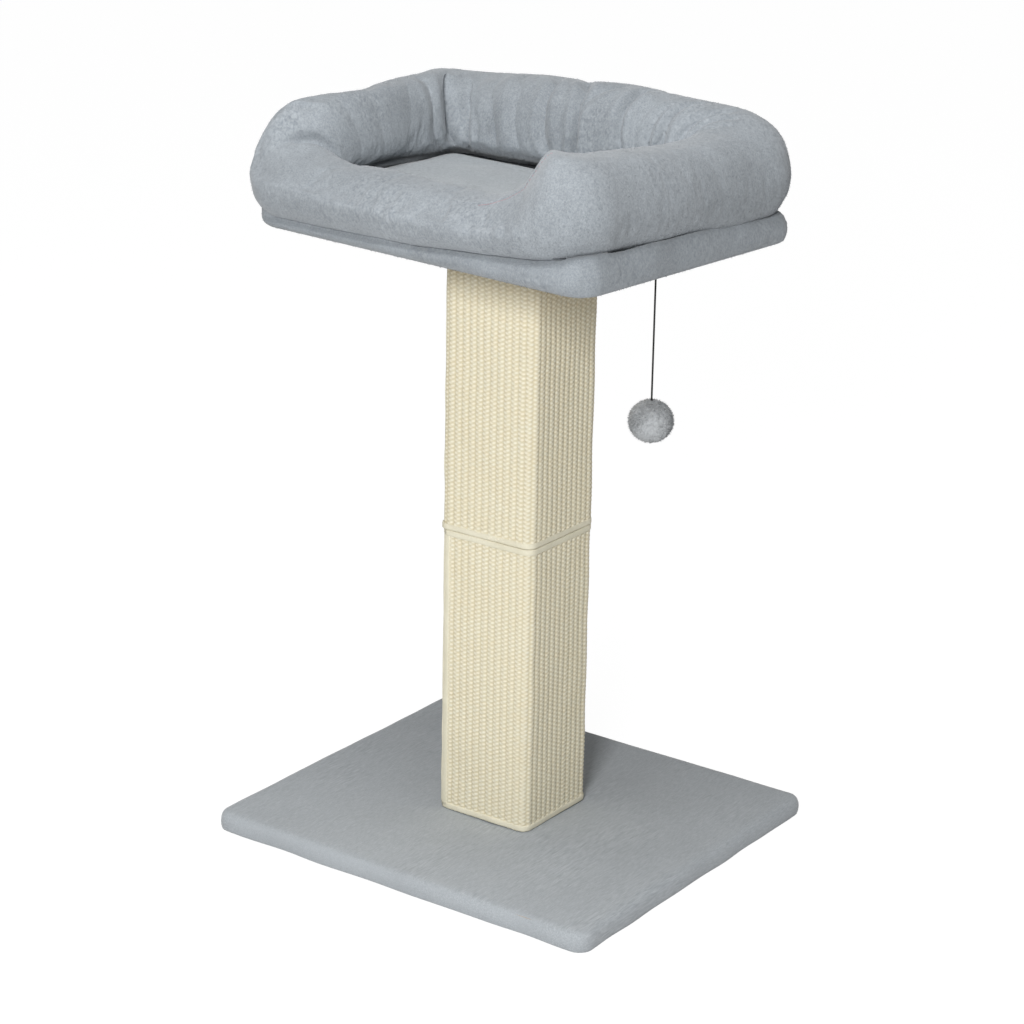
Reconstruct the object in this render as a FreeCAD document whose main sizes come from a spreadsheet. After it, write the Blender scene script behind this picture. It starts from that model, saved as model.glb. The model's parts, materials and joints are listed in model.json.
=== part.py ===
import FreeCAD, Part
import os
import re
import Sketcher

# Cat scratcher with bed, in millimetres, +Z up.
# The origin is on the floor under the post's axis, and the cat gets in over the lip on the -Y side.
# The platform, the bed and the toy are built square to the base and then turned about the post's axis.

# Driving dimensions: name, size, what it measures
DIMENSIONS = [
    ("cloth", 2.5, "plush cloth with its pile"),
    ("rest_gap", 0.3, "room between soft or hanging pieces and what carries them"),
    ("overrun", 5, "how far a cut runs past the piece"),
    ("base_width", 450, "base along its front edge"),
    ("base_depth", 400, "base from front to back"),
    ("base_board", 15, "base board's thickness"),
    ("base_corner", 14, "radius of the base's corners in plan"),
    ("base_edge_round", 5, "soft upper edge of the base's cover"),
    ("base_foot_round", 2, "soft lower edge of the base's cover"),
    ("base_hem", 30, "width of the hem under the base"),
    ("core_width", 100, "square post without its wrap"),
    ("panel", 9, "thickness of a post panel"),
    ("end_plate", 15, "thickness of a post's end plate"),
    ("section_length", 301, "length of one post section"),
    ("sisal", 4, "thickness of the woven wrap"),
    ("sisal_corner", 9, "radius of the wrapped post's corners"),
    ("seam_open", 5, "opening of the wrap's seam at the post's corner"),
    ("tape_width", 6, "width of the binding tape that shows"),
    ("tape_proud", 0.6, "how far the tape stands out of the weave"),
    ("tape_bite", 1, "how far the tape presses into the weave"),
    ("tape_fold", 0.8, "tape folded over the wrap's end"),
    ("bolt_diameter", 8, "bolts and stud"),
    ("bolt_head", 13, "diameter of a bolt's head"),
    ("bolt_head_height", 8, "height of a bolt's head"),
    ("socket_width", 7, "hexagon socket across its corners"),
    ("socket_depth", 5, "depth of the socket"),
    ("washer_diameter", 24, "outside of a washer"),
    ("washer_thickness", 2, "washer's thickness"),
    ("base_bolt_length", 30, "shank of the bolt through the base"),
    ("platform_bolt_length", 40, "shank of the bolt through the platform"),
    ("stud_length", 46, "stud between the post sections"),
    ("hole_clearance", 0.5, "room round a bolt in its hole"),
    ("thread_clearance", 0.1, "room round a bolt in its nut"),
    ("tee_flange", 22, "diameter of a tee nut's flange"),
    ("tee_flange_thickness", 1.5, "thickness of that flange"),
    ("tee_barrel", 11, "diameter of a tee nut's barrel"),
    ("tee_barrel_length", 12, "length of that barrel"),
    ("nail_diameter", 1.8, "nails in the post panels"),
    ("nail_length", 25, "length of a nail"),
    ("nail_head", 4, "diameter of a nail's head"),
    ("nail_head_height", 1, "thickness of a nail's head"),
    ("nail_inset", 25, "nails in the end plates, from the post's axis"),
    ("nail_margin", 40, "outer nails along a panel, from its end"),
    ("staple_crown", 10, "width of a hem staple"),
    ("staple_leg", 8, "leg of a hem staple"),
    ("staple_wire", 1, "wire of a hem staple"),
    ("staple_sink", 0.4, "how far a hem staple sits in the pressed cloth"),
    ("staple_inset", 16, "hem staples from the edge"),
    ("platform_turn", 5, "platform clockwise from above, in degrees"),
    ("platform_width", 412, "platform along its front edge"),
    ("platform_depth", 320, "platform from front to back"),
    ("platform_board", 15, "platform board's thickness"),
    ("platform_padding", 9, "padding on that board"),
    ("platform_corner", 30, "radius of the platform's corners in plan"),
    ("platform_edge_round", 9, "soft upper edge of the platform"),
    ("platform_foot_round", 5, "soft lower edge of the platform"),
    ("platform_hem", 60, "width of the hem under the platform"),
    ("access_hole", 30, "hole in the padding over the bolt"),
    ("strip_length", 160, "hook and loop strips"),
    ("strip_width", 25, "width of a strip"),
    ("strip_thickness", 1.2, "thickness of a strip"),
    ("strip_spacing", 190, "between the two strips' middles"),
    ("bed_left", 3, "bed from the platform's middle, to the left"),
    ("bed_front", 2, "bed from the platform's middle, to the front"),
    ("bed_width", 424, "bed outside, along its front"),
    ("bed_depth", 336, "bed outside, from front to back"),
    ("bed_corner", 50, "radius of the bed's outer corners in plan"),
    ("bed_cloth", 2, "cloth of the bed's covers"),
    ("bottom_inset", 12, "bottom cloth inside the wall's outer face"),
    ("bottom_cloth", 1.5, "bottom cloth of the bed"),
    ("wall_thickness", 74, "stuffed wall, outside to inside"),
    ("wall_height", 90, "stuffed wall at the sides and back"),
    ("wall_crest", 36, "rounding of the wall's crest"),
    ("crest_limit_share", 0.48, "most that a crest is rounded, of the wall's thickness"),
    ("wall_foot", 12, "rounding of the wall's outer foot"),
    ("inner_corner", 12, "radius of the bed's inner corners in plan"),
    ("lip_height", 38, "stuffed wall at the entry"),
    ("lip_crest", 22, "rounding of the lip's crest"),
    ("entry_left", 146, "entry from the middle to its left end"),
    ("entry_right", 149, "entry from the middle to its right end"),
    ("entry_left_round", 40, "rise of the wall at the entry's left end"),
    ("entry_right_round", 62, "rise of the wall at the entry's right end"),
    ("pad_height", 10, "floor cushion"),
    ("pad_round", 4, "soft edge of the floor cushion"),
    ("toy_inset", 44, "toy from the platform's right edge"),
    ("toy_drop", 154.5, "from the platform's underside to the ball's middle"),
    ("toy_wire", 1.2, "wire of the toy's staple"),
    ("toy_wire_span", 10, "width of that staple"),
    ("toy_wire_leg", 12, "leg of that staple in the platform"),
    ("toy_wire_drop", 5.2, "staple's crown under the platform"),
    ("cord_diameter", 1.8, "toy's cord"),
    ("cord_loop_radius", 4, "middle line of the loop round the staple"),
    ("cord_knot", 4.4, "knot under the loop"),
    ("cord_stopper", 4.8, "stopper knot inside the ball"),
    ("ball_diameter", 42, "plush ball"),
    ("ball_cloth", 2.7, "ball's plush cover"),
]

doc = FreeCAD.newDocument("cat_scratcher")
sheet = doc.addObject("Spreadsheet::Sheet", "sizes")
for row, (alias, size, meaning) in enumerate(DIMENSIONS, start=1):
    sheet.set(f"A{row}", meaning)
    sheet.set(f"B{row}", str(size))
    sheet.setAlias(f"B{row}", alias)
doc.recompute()

ALIASES = {alias for alias, size, meaning in DIMENSIONS}
NODES = []

# Levels and sizes that several pieces share
BASE_TOP = "(base_board + 2 * cloth)"
POST_WIDTH = "(core_width + 2 * sisal)"
INNER_WIDTH = "(core_width - 2 * panel)"
POST_TOP = f"({BASE_TOP} + 2 * section_length)"
PLATFORM_LOW = f"({POST_TOP} - cloth)"
PLATFORM_TOP = f"({POST_TOP} + platform_board + platform_padding + cloth)"
BED_LOW = f"({PLATFORM_TOP} + 2 * strip_thickness + rest_gap)"
WALL_LOW = f"({BED_LOW} + bottom_cloth + rest_gap)"
BED_PLACE = {"x": "-bed_left", "y": "-bed_front"}
OPENING_WIDTH = "(bed_width - 2 * wall_thickness)"
OPENING_DEPTH = "(bed_depth - 2 * wall_thickness)"
BORE = "(bolt_diameter + 2 * hole_clearance)"

UP = (0, 0, 1)
DOWN = (0, 0, -1)
ORIGIN = FreeCAD.Vector(0, 0, 0)
Z_AXIS = FreeCAD.Vector(*UP)
TINY = Part.Precision.confusion()
TURN = FreeCAD.Rotation(Z_AXIS, -sheet.get("platform_turn"))


# Helpers that tie a piece's sizes and place to the sheet

def expression(text):
    """The text with each size's name turned into a reference to its cell."""
    return re.sub(r"[a-z_]+", lambda word: ("sizes." if word[0] in ALIASES else "") + word[0], text)


def bind(piece, **sizes):
    """Tie properties of a piece to sizes in the sheet."""
    for name, text in sizes.items():
        piece.setExpression(name, expression(text))
    return piece


def move(piece, x="0", y="0", z="0"):
    """Tie the place of a piece to sizes in the sheet."""
    for axis, text in (("x", x), ("y", y), ("z", z)):
        piece.setExpression(f"Placement.Base.{axis}", expression(text))
    return piece


def block(name, length, width, height, x="0", y="0", z="0"):
    """A box centred on x and y that stands on z."""
    box = bind(doc.addObject("Part::Box", name), Length=length, Width=width, Height=height)
    return move(box, f"{x} - ({length}) / 2", f"{y} - ({width}) / 2", z)


def rod(name, diameter, length, x="0", y="0", z="0", direction=UP):
    """A cylinder that starts at x, y, z and runs in the direction."""
    cylinder = bind(doc.addObject("Part::Cylinder", name), Radius=f"({diameter}) / 2", Height=length)
    cylinder.Placement = FreeCAD.Placement(ORIGIN, FreeCAD.Rotation(Z_AXIS, FreeCAD.Vector(*direction)))
    return move(cylinder, x, y, z)


def ball(name, diameter, x="0", y="0", z="0"):
    """A sphere about x, y, z."""
    return move(bind(doc.addObject("Part::Sphere", name), Radius=f"({diameter}) / 2"), x, y, z)


def fuse(name, pieces):
    """Several touching pieces as one solid."""
    union = doc.addObject("Part::MultiFuse", name)
    union.Shapes = pieces
    union.Refine = True
    return union


def cut(name, piece, *tools):
    """The piece less each tool in turn."""
    for tool in tools:
        difference = doc.addObject("Part::Cut", name)
        difference.Base = piece
        difference.Tool = tool
        piece = difference
    return piece


def group(name, pieces):
    """Separate solids kept together."""
    compound = doc.addObject("Part::Compound", name)
    compound.Links = pieces
    return compound


def node(label, piece, turned=False):
    """Name a finished piece, and turn it with the platform where it belongs there."""
    piece.Label = label
    if turned:
        piece.Placement = FreeCAD.Placement(piece.Placement.Base, TURN)
    NODES.append(piece)
    return piece


# Helpers for bodies drawn as a sketch, padded and rounded

def rectangle(sketch, name, width, depth):
    """A rectangle about the sketch's origin, with its two sizes tied to the sheet."""
    corner_shares = [(-1, -1), (1, -1), (1, 1), (-1, 1)]
    half_width = float(sheet.evalExpression(expression(width))) / 2
    half_depth = float(sheet.evalExpression(expression(depth))) / 2
    corners = [FreeCAD.Vector(across * half_width, along * half_depth, 0) for across, along in corner_shares]
    first = sketch.GeometryCount
    for index, corner in enumerate(corners):
        sketch.addGeometry(Part.LineSegment(corner, corners[(index + 1) % 4]))
    for index in range(4):
        sketch.addConstraint(Sketcher.Constraint("Coincident", first + index, 2, first + (index + 1) % 4, 1))
    for index in (0, 2):
        sketch.addConstraint(Sketcher.Constraint("Horizontal", first + index))
        sketch.addConstraint(Sketcher.Constraint("Vertical", first + index + 1))
    sketch.addConstraint(Sketcher.Constraint("Symmetric", first, 1, first + 1, 2, -1, 1))
    for title, kind, size, line in (("width", "DistanceX", 2 * half_width, first),
                                    ("depth", "DistanceY", 2 * half_depth, first + 1)):
        sketch.addConstraint(Sketcher.Constraint(kind, line, 1, line, 2, size))
        sketch.renameConstraint(sketch.ConstraintCount - 1, f"{name}_{title}")
    sketch.setExpression(f"Constraints.{name}_width", expression(width))
    sketch.setExpression(f"Constraints.{name}_depth", expression(depth))


def padded_body(name, outlines, height, x="0", y="0", z="0"):
    """A body padded up from rectangles about its own origin; a second rectangle is a hole."""
    body = doc.addObject("PartDesign::Body", name)
    ground = next(plane for plane in body.Origin.OriginFeatures if plane.Role == "XY_Plane")
    sketch = body.newObject("Sketcher::SketchObject", f"{name}_outline")
    sketch.AttachmentSupport = (ground, [""])
    sketch.MapMode = "FlatFace"
    for title, (width, depth) in zip(("outer", "inner"), outlines):
        rectangle(sketch, title, width, depth)
    pad = body.newObject("PartDesign::Pad", f"{name}_pad")
    pad.Profile = sketch
    bind(pad, Length=height)
    body.Tip = pad
    doc.recompute([body])
    return move(body, x, y, z)


def round_edges(body, radius, chosen):
    """Round the edges of a body that the test chooses."""
    edges = [f"Edge{index}" for index, edge in enumerate(body.Tip.Shape.Edges, start=1) if chosen(edge)]
    fillet = body.newObject("PartDesign::Fillet", f"{body.Name}_round")
    fillet.Base = (fillet.BaseFeature, edges)
    bind(fillet, Radius=radius)
    body.Tip = fillet
    doc.recompute([body])
    return body


def upright(edge):
    """True for an edge that runs along Z."""
    start, end = edge.Vertexes[0], edge.Vertexes[-1]
    return abs(end.Z - start.Z) > TINY and abs(end.X - start.X) + abs(end.Y - start.Y) < TINY


def level_at(body, top):
    """A test for the edges in a body's top or bottom plane."""
    levels = [corner.Z for corner in body.Tip.Shape.Vertexes]
    level = max(levels) if top else min(levels)
    return lambda edge: all(abs(corner.Z - level) < TINY for corner in edge.Vertexes)


def slab(name, width, depth, height, corner, x="0", y="0", z="0", edge_round=None, foot_round=None):
    """A plate with rounded corners in plan, and with soft upper and lower edges where they are given."""
    body = padded_body(name, [(width, depth)], height, x, y, z)
    round_edges(body, corner, upright)
    if edge_round:
        round_edges(body, edge_round, level_at(body, True))
    if foot_round:
        round_edges(body, foot_round, level_at(body, False))
    return body


# Fasteners that several places use

def bolt(label, length, seat, direction, turned=False):
    """A socket-head bolt whose head sits on the level called seat."""
    sign = direction[2]
    back = (0, 0, -sign)
    head = rod(f"{label}_head", "bolt_head", "bolt_head_height", z=seat, direction=back)
    shank = rod(f"{label}_shank", "bolt_diameter", length, z=seat, direction=direction)
    socket = bind(doc.addObject("Part::Prism", f"{label}_socket"),
                  Circumradius="socket_width / 2", Height="socket_depth + overrun")
    socket.Polygon = 6
    socket.Placement = FreeCAD.Placement(ORIGIN, FreeCAD.Rotation(Z_AXIS, FreeCAD.Vector(*direction)))
    move(socket, z=f"{seat} - {sign} * (bolt_head_height + overrun)")
    whole = fuse(f"{label}_whole", [head, shank])
    return node(label, cut(f"{label}_cut", whole, socket), turned)


def washer(label, low, turned=False):
    """A flat washer that lies on the level called low."""
    disc = rod(f"{label}_disc", "washer_diameter", "washer_thickness", z=low)
    hole = rod(f"{label}_hole", BORE, "washer_thickness + 2 * overrun", z=f"{low} - overrun")
    return node(label, cut(f"{label}_cut", disc, hole), turned)


def tee_nut(name, seat, outward):
    """A tee nut with its flange on the level called seat and its barrel pointing outward."""
    inward = (0, 0, -outward[2])
    flange = rod(f"{name}_flange", "tee_flange", "tee_flange_thickness", z=seat, direction=inward)
    barrel = rod(f"{name}_barrel", "tee_barrel", "tee_barrel_length", z=seat, direction=outward)
    reach = "(tee_barrel_length + overrun)"
    bore_width = "bolt_diameter + 2 * thread_clearance"
    bore = rod(f"{name}_bore", bore_width, f"2 * {reach}", z=f"{seat} - {reach}")
    return cut(f"{name}_cut", fuse(f"{name}_whole", [flange, barrel]), bore)


def nail(name, x, y, z, direction):
    """A flat-headed nail driven from the point in the direction."""
    shaft = rod(f"{name}_shaft", "nail_diameter", "nail_length", x, y, z, direction)
    head = rod(f"{name}_head", "nail_head", "nail_head_height", x, y, z, direction)
    return fuse(name, [shaft, head])


def hem_staple(name, x, y, low, along_x):
    """A staple driven up through a hem, and the groove that its crown presses into the cloth."""
    crown_size = ("staple_crown", "staple_wire") if along_x else ("staple_wire", "staple_crown")
    seat = f"{low} + staple_sink"
    pieces = [block(f"{name}_crown", *crown_size, "staple_wire", x, y, seat)]
    for side in (-1, 1):
        offset = f"{side} * (staple_crown - staple_wire) / 2"
        place = (f"{x} + {offset}", y) if along_x else (x, f"{y} + {offset}")
        pieces.append(block(f"{name}_leg", "staple_wire", "staple_wire", "staple_leg", *place, seat))
    groove = block(f"{name}_groove", *crown_size, "staple_sink + overrun", x, y, f"{low} - overrun")
    return fuse(name, pieces), groove


def hem_staples(prefix, width, depth, low, width_count, depth_count):
    """Staples evenly along the four sides of a hem, and their grooves."""
    places = []
    for side in (-1, 1):
        for index in range(width_count):
            share = (index + 0.5) / width_count - 0.5
            places.append((f"{share} * {width}", f"{side} * ({depth} / 2 - staple_inset)", True))
        for index in range(depth_count):
            share = (index + 0.5) / depth_count - 0.5
            places.append((f"{side} * ({width} / 2 - staple_inset)", f"{share} * {depth}", False))
    made = [hem_staple(f"{prefix}_staple", x, y, low, along_x) for x, y, along_x in places]
    return [staple for staple, groove in made], [groove for staple, groove in made]


# Base: a board in a plush cover that is hemmed and stapled underneath, with a bolt up into the post

def base():
    blank = slab("base_cover_blank", "base_width", "base_depth", BASE_TOP, "base_corner",
                 edge_round="base_edge_round", foot_round="base_foot_round")
    board_blank = slab("base_board_blank", "base_width - 2 * cloth", "base_depth - 2 * cloth",
                       "base_board", "base_corner - cloth", z="cloth")
    window = block("base_window", "base_width - 2 * base_hem", "base_depth - 2 * base_hem",
                   "cloth + overrun", z="-overrun")
    bore = rod("base_bore", BORE, f"{BASE_TOP} + 2 * overrun", z="-overrun")
    seat_depth = "bolt_head_height + washer_thickness"
    recess = rod("base_recess", "washer_diameter + 2 * hole_clearance", f"{seat_depth} + overrun",
                 z="cloth - overrun")
    staples, grooves = hem_staples("base", "base_width", "base_depth", "0", 4, 4)
    held = node("base_staples", group("base_staple_group", staples))
    node("base_board", cut("base_board_cut", board_blank, bore, recess, held))
    pressed = group("base_grooves", grooves)
    node("base_cover", cut("base_cover_cut", blank, board_blank, window, bore, held, pressed))
    bolt("base_bolt", "base_bolt_length", "cloth + bolt_head_height", UP)
    washer("base_washer", "cloth + bolt_head_height")


# Post: each section is four panels nailed round two end plates, with sisal wrapped round it

def section_nails(prefix, low):
    """Nails through the front and back into the sides, and through the sides into the end plates."""
    nails = []
    face = "core_width / 2"
    edge = "(core_width - panel) / 2"
    plate_middles = [f"{low} + end_plate / 2", f"{low} + section_length - end_plate / 2"]
    heights = [f"{low} + nail_margin", f"{low} + section_length / 2",
               f"{low} + section_length - nail_margin"]
    for side in (-1, 1):
        for across in (-1, 1):
            for z in heights:
                place = (f"{across} * {edge}", f"{side} * {face}", z)
                nails.append(nail(f"{prefix}_nail", *place, (0, -side, 0)))
            for z in plate_middles:
                place = (f"{side} * {face}", f"{across} * nail_inset", z)
                nails.append(nail(f"{prefix}_nail", *place, (-side, 0, 0)))
    return nails


def section_panels(prefix, low, nails):
    """The four sides of a post section."""
    offset = "(core_width - panel) / 2"
    for name, side in (("front", -1), ("back", 1)):
        blank = block(f"{prefix}_{name}_blank", "core_width", "panel", "section_length",
                      y=f"{side} * {offset}", z=low)
        node(f"{prefix}_{name}_panel", cut(f"{prefix}_{name}_cut", blank, nails))
    for name, side in (("left", -1), ("right", 1)):
        blank = block(f"{prefix}_{name}_blank", "panel", INNER_WIDTH, "section_length",
                      x=f"{side} * {offset}", z=low)
        node(f"{prefix}_{name}_panel", cut(f"{prefix}_{name}_cut", blank, nails))


def section_ends(prefix, low, nails):
    """The end plates and their tee nuts."""
    top_low = f"{low} + section_length - end_plate"
    for name, plate_low in (("bottom", low), ("top", top_low)):
        blank = block(f"{prefix}_{name}_blank", INNER_WIDTH, INNER_WIDTH, "end_plate", z=plate_low)
        bore = rod(f"{prefix}_{name}_bore", "tee_barrel", "end_plate + 2 * overrun",
                   z=f"{plate_low} - overrun")
        node(f"{prefix}_{name}_plate", cut(f"{prefix}_{name}_cut", blank, bore, nails))
    nuts = [tee_nut(f"{prefix}_bottom_nut", f"{low} + end_plate", DOWN),
            tee_nut(f"{prefix}_top_nut", top_low, UP)]
    node(f"{prefix}_tee_nuts", group(f"{prefix}_nut_group", nuts))


def section_wrap(prefix, low):
    """The sisal round a section, open at its front left corner, and the tape round the sisal's edges."""
    outer_width = f"({POST_WIDTH} + 2 * tape_proud)"
    inner_width = f"({POST_WIDTH} - 2 * tape_bite)"
    past = f"({outer_width} / 2 + overrun)"
    tall = ("section_length + 2 * overrun", f"{low} - overrun")

    def corner_block(name, reach, height, z):
        """A block over the seam's corner that reaches in from the wrap's outer faces."""
        size = f"(overrun + tape_proud + {reach})"
        middle = f"{size} / 2 - {past}"
        return block(name, size, size, height, middle, middle, z)

    outer = slab(f"{prefix}_tape_outer", outer_width, outer_width, "section_length",
                 "sisal_corner + tape_proud", z=low)
    inner = slab(f"{prefix}_tape_inner", inner_width, inner_width, "section_length - 2 * tape_fold",
                 "sisal_corner - tape_bite", z=f"{low} + tape_fold")
    core = block(f"{prefix}_core", "core_width", "core_width", tall[0], z=tall[1])
    notch = corner_block(f"{prefix}_notch", "seam_open", *tall)
    column = corner_block(f"{prefix}_column", "seam_open + tape_width", *tall)
    field = block(f"{prefix}_field", f"2 * {past}", f"2 * {past}", "section_length - 2 * tape_width",
                  z=f"{low} + tape_width")
    window = cut(f"{prefix}_window", field, column)
    binding = node(f"{prefix}_wrap_binding", cut(f"{prefix}_tape_cut", outer, inner, core, window, notch))
    blank = slab(f"{prefix}_wrap_blank", POST_WIDTH, POST_WIDTH, "section_length", "sisal_corner", z=low)
    node(f"{prefix}_sisal_wrap", cut(f"{prefix}_wrap_cut", blank, core, notch, binding))


def post():
    seam = f"({BASE_TOP} + section_length)"
    for prefix, low in (("lower", BASE_TOP), ("upper", seam)):
        nails = node(f"{prefix}_panel_nails", group(f"{prefix}_nail_group", section_nails(prefix, low)))
        section_panels(prefix, low, nails)
        section_ends(prefix, low, nails)
        section_wrap(prefix, low)
    node("joint_stud", rod("stud", "bolt_diameter", "stud_length", z=f"{seam} - stud_length / 2"))


# Platform: a padded board in a plush cover, bolted to the post from above

def platform(toy_wire):
    plan = ("platform_width - 2 * cloth", "platform_depth - 2 * cloth")
    inner_corner = "platform_corner - cloth"
    inner_round = "platform_edge_round - cloth"
    board_top = f"({POST_TOP} + platform_board)"
    blank = slab("platform_cover_blank", "platform_width", "platform_depth",
                 f"{PLATFORM_TOP} - {PLATFORM_LOW}", "platform_corner", z=PLATFORM_LOW,
                 edge_round="platform_edge_round", foot_round="platform_foot_round")
    inside = slab("platform_inside", *plan, "platform_board + platform_padding", inner_corner,
                  z=POST_TOP, edge_round=inner_round)
    board_blank = slab("platform_board_blank", *plan, "platform_board", inner_corner, z=POST_TOP)
    padding_blank = slab("platform_padding_blank", *plan, "platform_padding", inner_corner,
                         z=board_top, edge_round=inner_round)
    window = block("platform_window", "platform_width - 2 * platform_hem",
                   "platform_depth - 2 * platform_hem", "cloth + overrun", z=f"{PLATFORM_LOW} - overrun")
    bore = rod("platform_bore", BORE, "platform_board + 2 * overrun", z=f"{POST_TOP} - overrun")
    access = rod("platform_access", "access_hole", "platform_padding + cloth + overrun", z=board_top)
    staples, grooves = hem_staples("platform", "platform_width", "platform_depth", PLATFORM_LOW, 4, 3)
    tools = group("platform_staple_tools", staples)
    node("platform_staples", group("platform_staple_group", staples), True)
    node("platform_board", cut("platform_board_cut", board_blank, bore, tools, toy_wire), True)
    node("platform_padding", cut("platform_padding_cut", padding_blank, access), True)
    cover = cut("platform_cover_cut", blank, inside, window, access, tools,
                group("platform_grooves", grooves), toy_wire)
    node("platform_cover", cover, True)
    washer("platform_washer", board_top, True)
    bolt("platform_bolt", "platform_bolt_length", f"{board_top} + washer_thickness", DOWN, True)


def strips(label, low):
    """Two strips of hook or loop tape under the bed's long sides."""
    pieces = [block(f"{label}_strip", "strip_length", "strip_width", "strip_thickness",
                    y=f"{side} * strip_spacing / 2", z=low) for side in (-1, 1)]
    node(label, group(f"{label}_group", pieces), True)


# Bed: a stuffed wall with a low entry, a floor cushion and a bottom cloth

def wall_ring(name, inset, height, crest):
    """The bed's wall all round at one height, drawn inside its outer surface by the inset."""
    outlines = [(f"bed_width - 2 * {inset}", f"bed_depth - 2 * {inset}"),
                (f"{OPENING_WIDTH} + 2 * {inset}", f"{OPENING_DEPTH} + 2 * {inset}")]
    half_opening = [float(sheet.evalExpression(expression(size))) / 2 for size in outlines[1]]

    def outside(edge):
        """True for an edge of the outer face."""
        return any(abs(corner.X) > half_opening[0] + TINY or abs(corner.Y) > half_opening[1] + TINY
                   for corner in edge.Vertexes)

    ring = padded_body(name, outlines, f"{height} - 2 * {inset}", **BED_PLACE, z=f"{WALL_LOW} + {inset}")
    round_edges(ring, f"bed_corner - {inset}", lambda edge: upright(edge) and outside(edge))
    round_edges(ring, f"inner_corner + {inset}",
                lambda edge: upright(edge) and not outside(edge))
    round_edges(ring, f"min({crest}; crest_limit_share * wall_thickness) - {inset}", level_at(ring, True))
    at_foot = level_at(ring, False)
    round_edges(ring, f"wall_foot - {inset}", lambda edge: at_foot(edge) and outside(edge))
    return ring


def wall_form(name, inset):
    """High walls at the sides and back and a low lip at the entry, inside their surface by the inset."""
    high = wall_ring(f"{name}_high", inset, "wall_height", "wall_crest")
    low = wall_ring(f"{name}_low", inset, "lip_height", "lip_crest")
    lip_top = f"{WALL_LOW} + lip_height - {inset}"
    reach = f"(wall_thickness + overrun + {inset})"
    middle_x = "(entry_right - entry_left) / 2 - bed_left"
    middle_y = f"{reach} / 2 - bed_depth / 2 - overrun - bed_front"
    rise = padded_body(f"{name}_entry", [(f"entry_left + entry_right + 2 * {inset}", reach)],
                       "wall_height + overrun", middle_x, middle_y, lip_top)
    at_foot = level_at(rise, False)
    for side, radius in ((-1, "entry_left_round"), (1, "entry_right_round")):
        round_edges(rise, f"{radius} + {inset}",
                    lambda edge: at_foot(edge) and all(side * corner.X > 0 for corner in edge.Vertexes))
    left = "(entry_left - entry_left_round)"
    right = "(entry_right - entry_right_round)"
    gap = block(f"{name}_gap", f"{left} + {right}", reach, "2 * wall_height",
                f"({right} - {left}) / 2 - bed_left", middle_y, f"{lip_top} - wall_height")
    return fuse(name, [cut(f"{name}_walls", high, rise, gap), low])


def pad_form(name, inset):
    """The floor cushion, inside its outer surface by the inset."""
    side_gap = f"(rest_gap + {inset})"
    soft = f"pad_round - {inset}"
    return slab(name, f"{OPENING_WIDTH} - 2 * {side_gap}", f"{OPENING_DEPTH} - 2 * {side_gap}",
                f"pad_height - 2 * {inset}", f"inner_corner - {side_gap}", **BED_PLACE,
                z=f"{WALL_LOW} + {inset}", edge_round=soft, foot_round=soft)


def bed():
    filled = "(bed_cloth + rest_gap)"
    bottom = slab("bed_bottom_sheet", "bed_width - 2 * bottom_inset", "bed_depth - 2 * bottom_inset",
                  "bottom_cloth", "bed_corner - bottom_inset", **BED_PLACE, z=BED_LOW)
    node("bed_bottom", group("bed_bottom_group", [bottom]), True)
    for label, form in (("bolster", wall_form), ("pad", pad_form)):
        cover = cut(f"{label}_shell", form(f"{label}_outside", "0"), form(f"{label}_inside", "bed_cloth"))
        node(f"{label}_cover", cover, True)
        node(f"{label}_fill", group(f"{label}_fill_group", [form(f"{label}_stuffing", filled)]), True)


# Toy: a wire staple under the platform, a cord looped round it and a plush ball on the cord

TOY_X = "(platform_width / 2 - toy_inset)"
CROWN_Z = f"({PLATFORM_LOW} - toy_wire_drop)"
LOOP_Z = f"({CROWN_Z} + toy_wire / 2 + rest_gap - cord_loop_radius + cord_diameter / 2)"
KNOT_Z = f"({LOOP_Z} - cord_loop_radius - cord_knot / 4)"
SWING_Z = f"({KNOT_Z} - cord_knot / 2 - rest_gap - cord_diameter / 2)"
BALL_Z = f"({PLATFORM_LOW} - toy_drop)"
STOPPER_Z = f"({BALL_Z} + ball_diameter / 2 - ball_cloth - rest_gap - cord_stopper / 2)"


def toy_staple():
    """The staple's wire: a crown along Y with two legs up into the board."""
    half = "toy_wire_span / 2"
    pieces = [rod("toy_wire_crown", "toy_wire", "toy_wire_span", TOY_X, f"-{half}", CROWN_Z, (0, 1, 0))]
    for side in (-1, 1):
        place = (TOY_X, f"{side} * {half}", CROWN_Z)
        pieces.append(rod("toy_wire_leg", "toy_wire", "toy_wire_drop + toy_wire_leg", *place))
        pieces.append(ball("toy_wire_bend", "toy_wire", *place))
    return fuse("toy_wire_whole", pieces)


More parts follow.
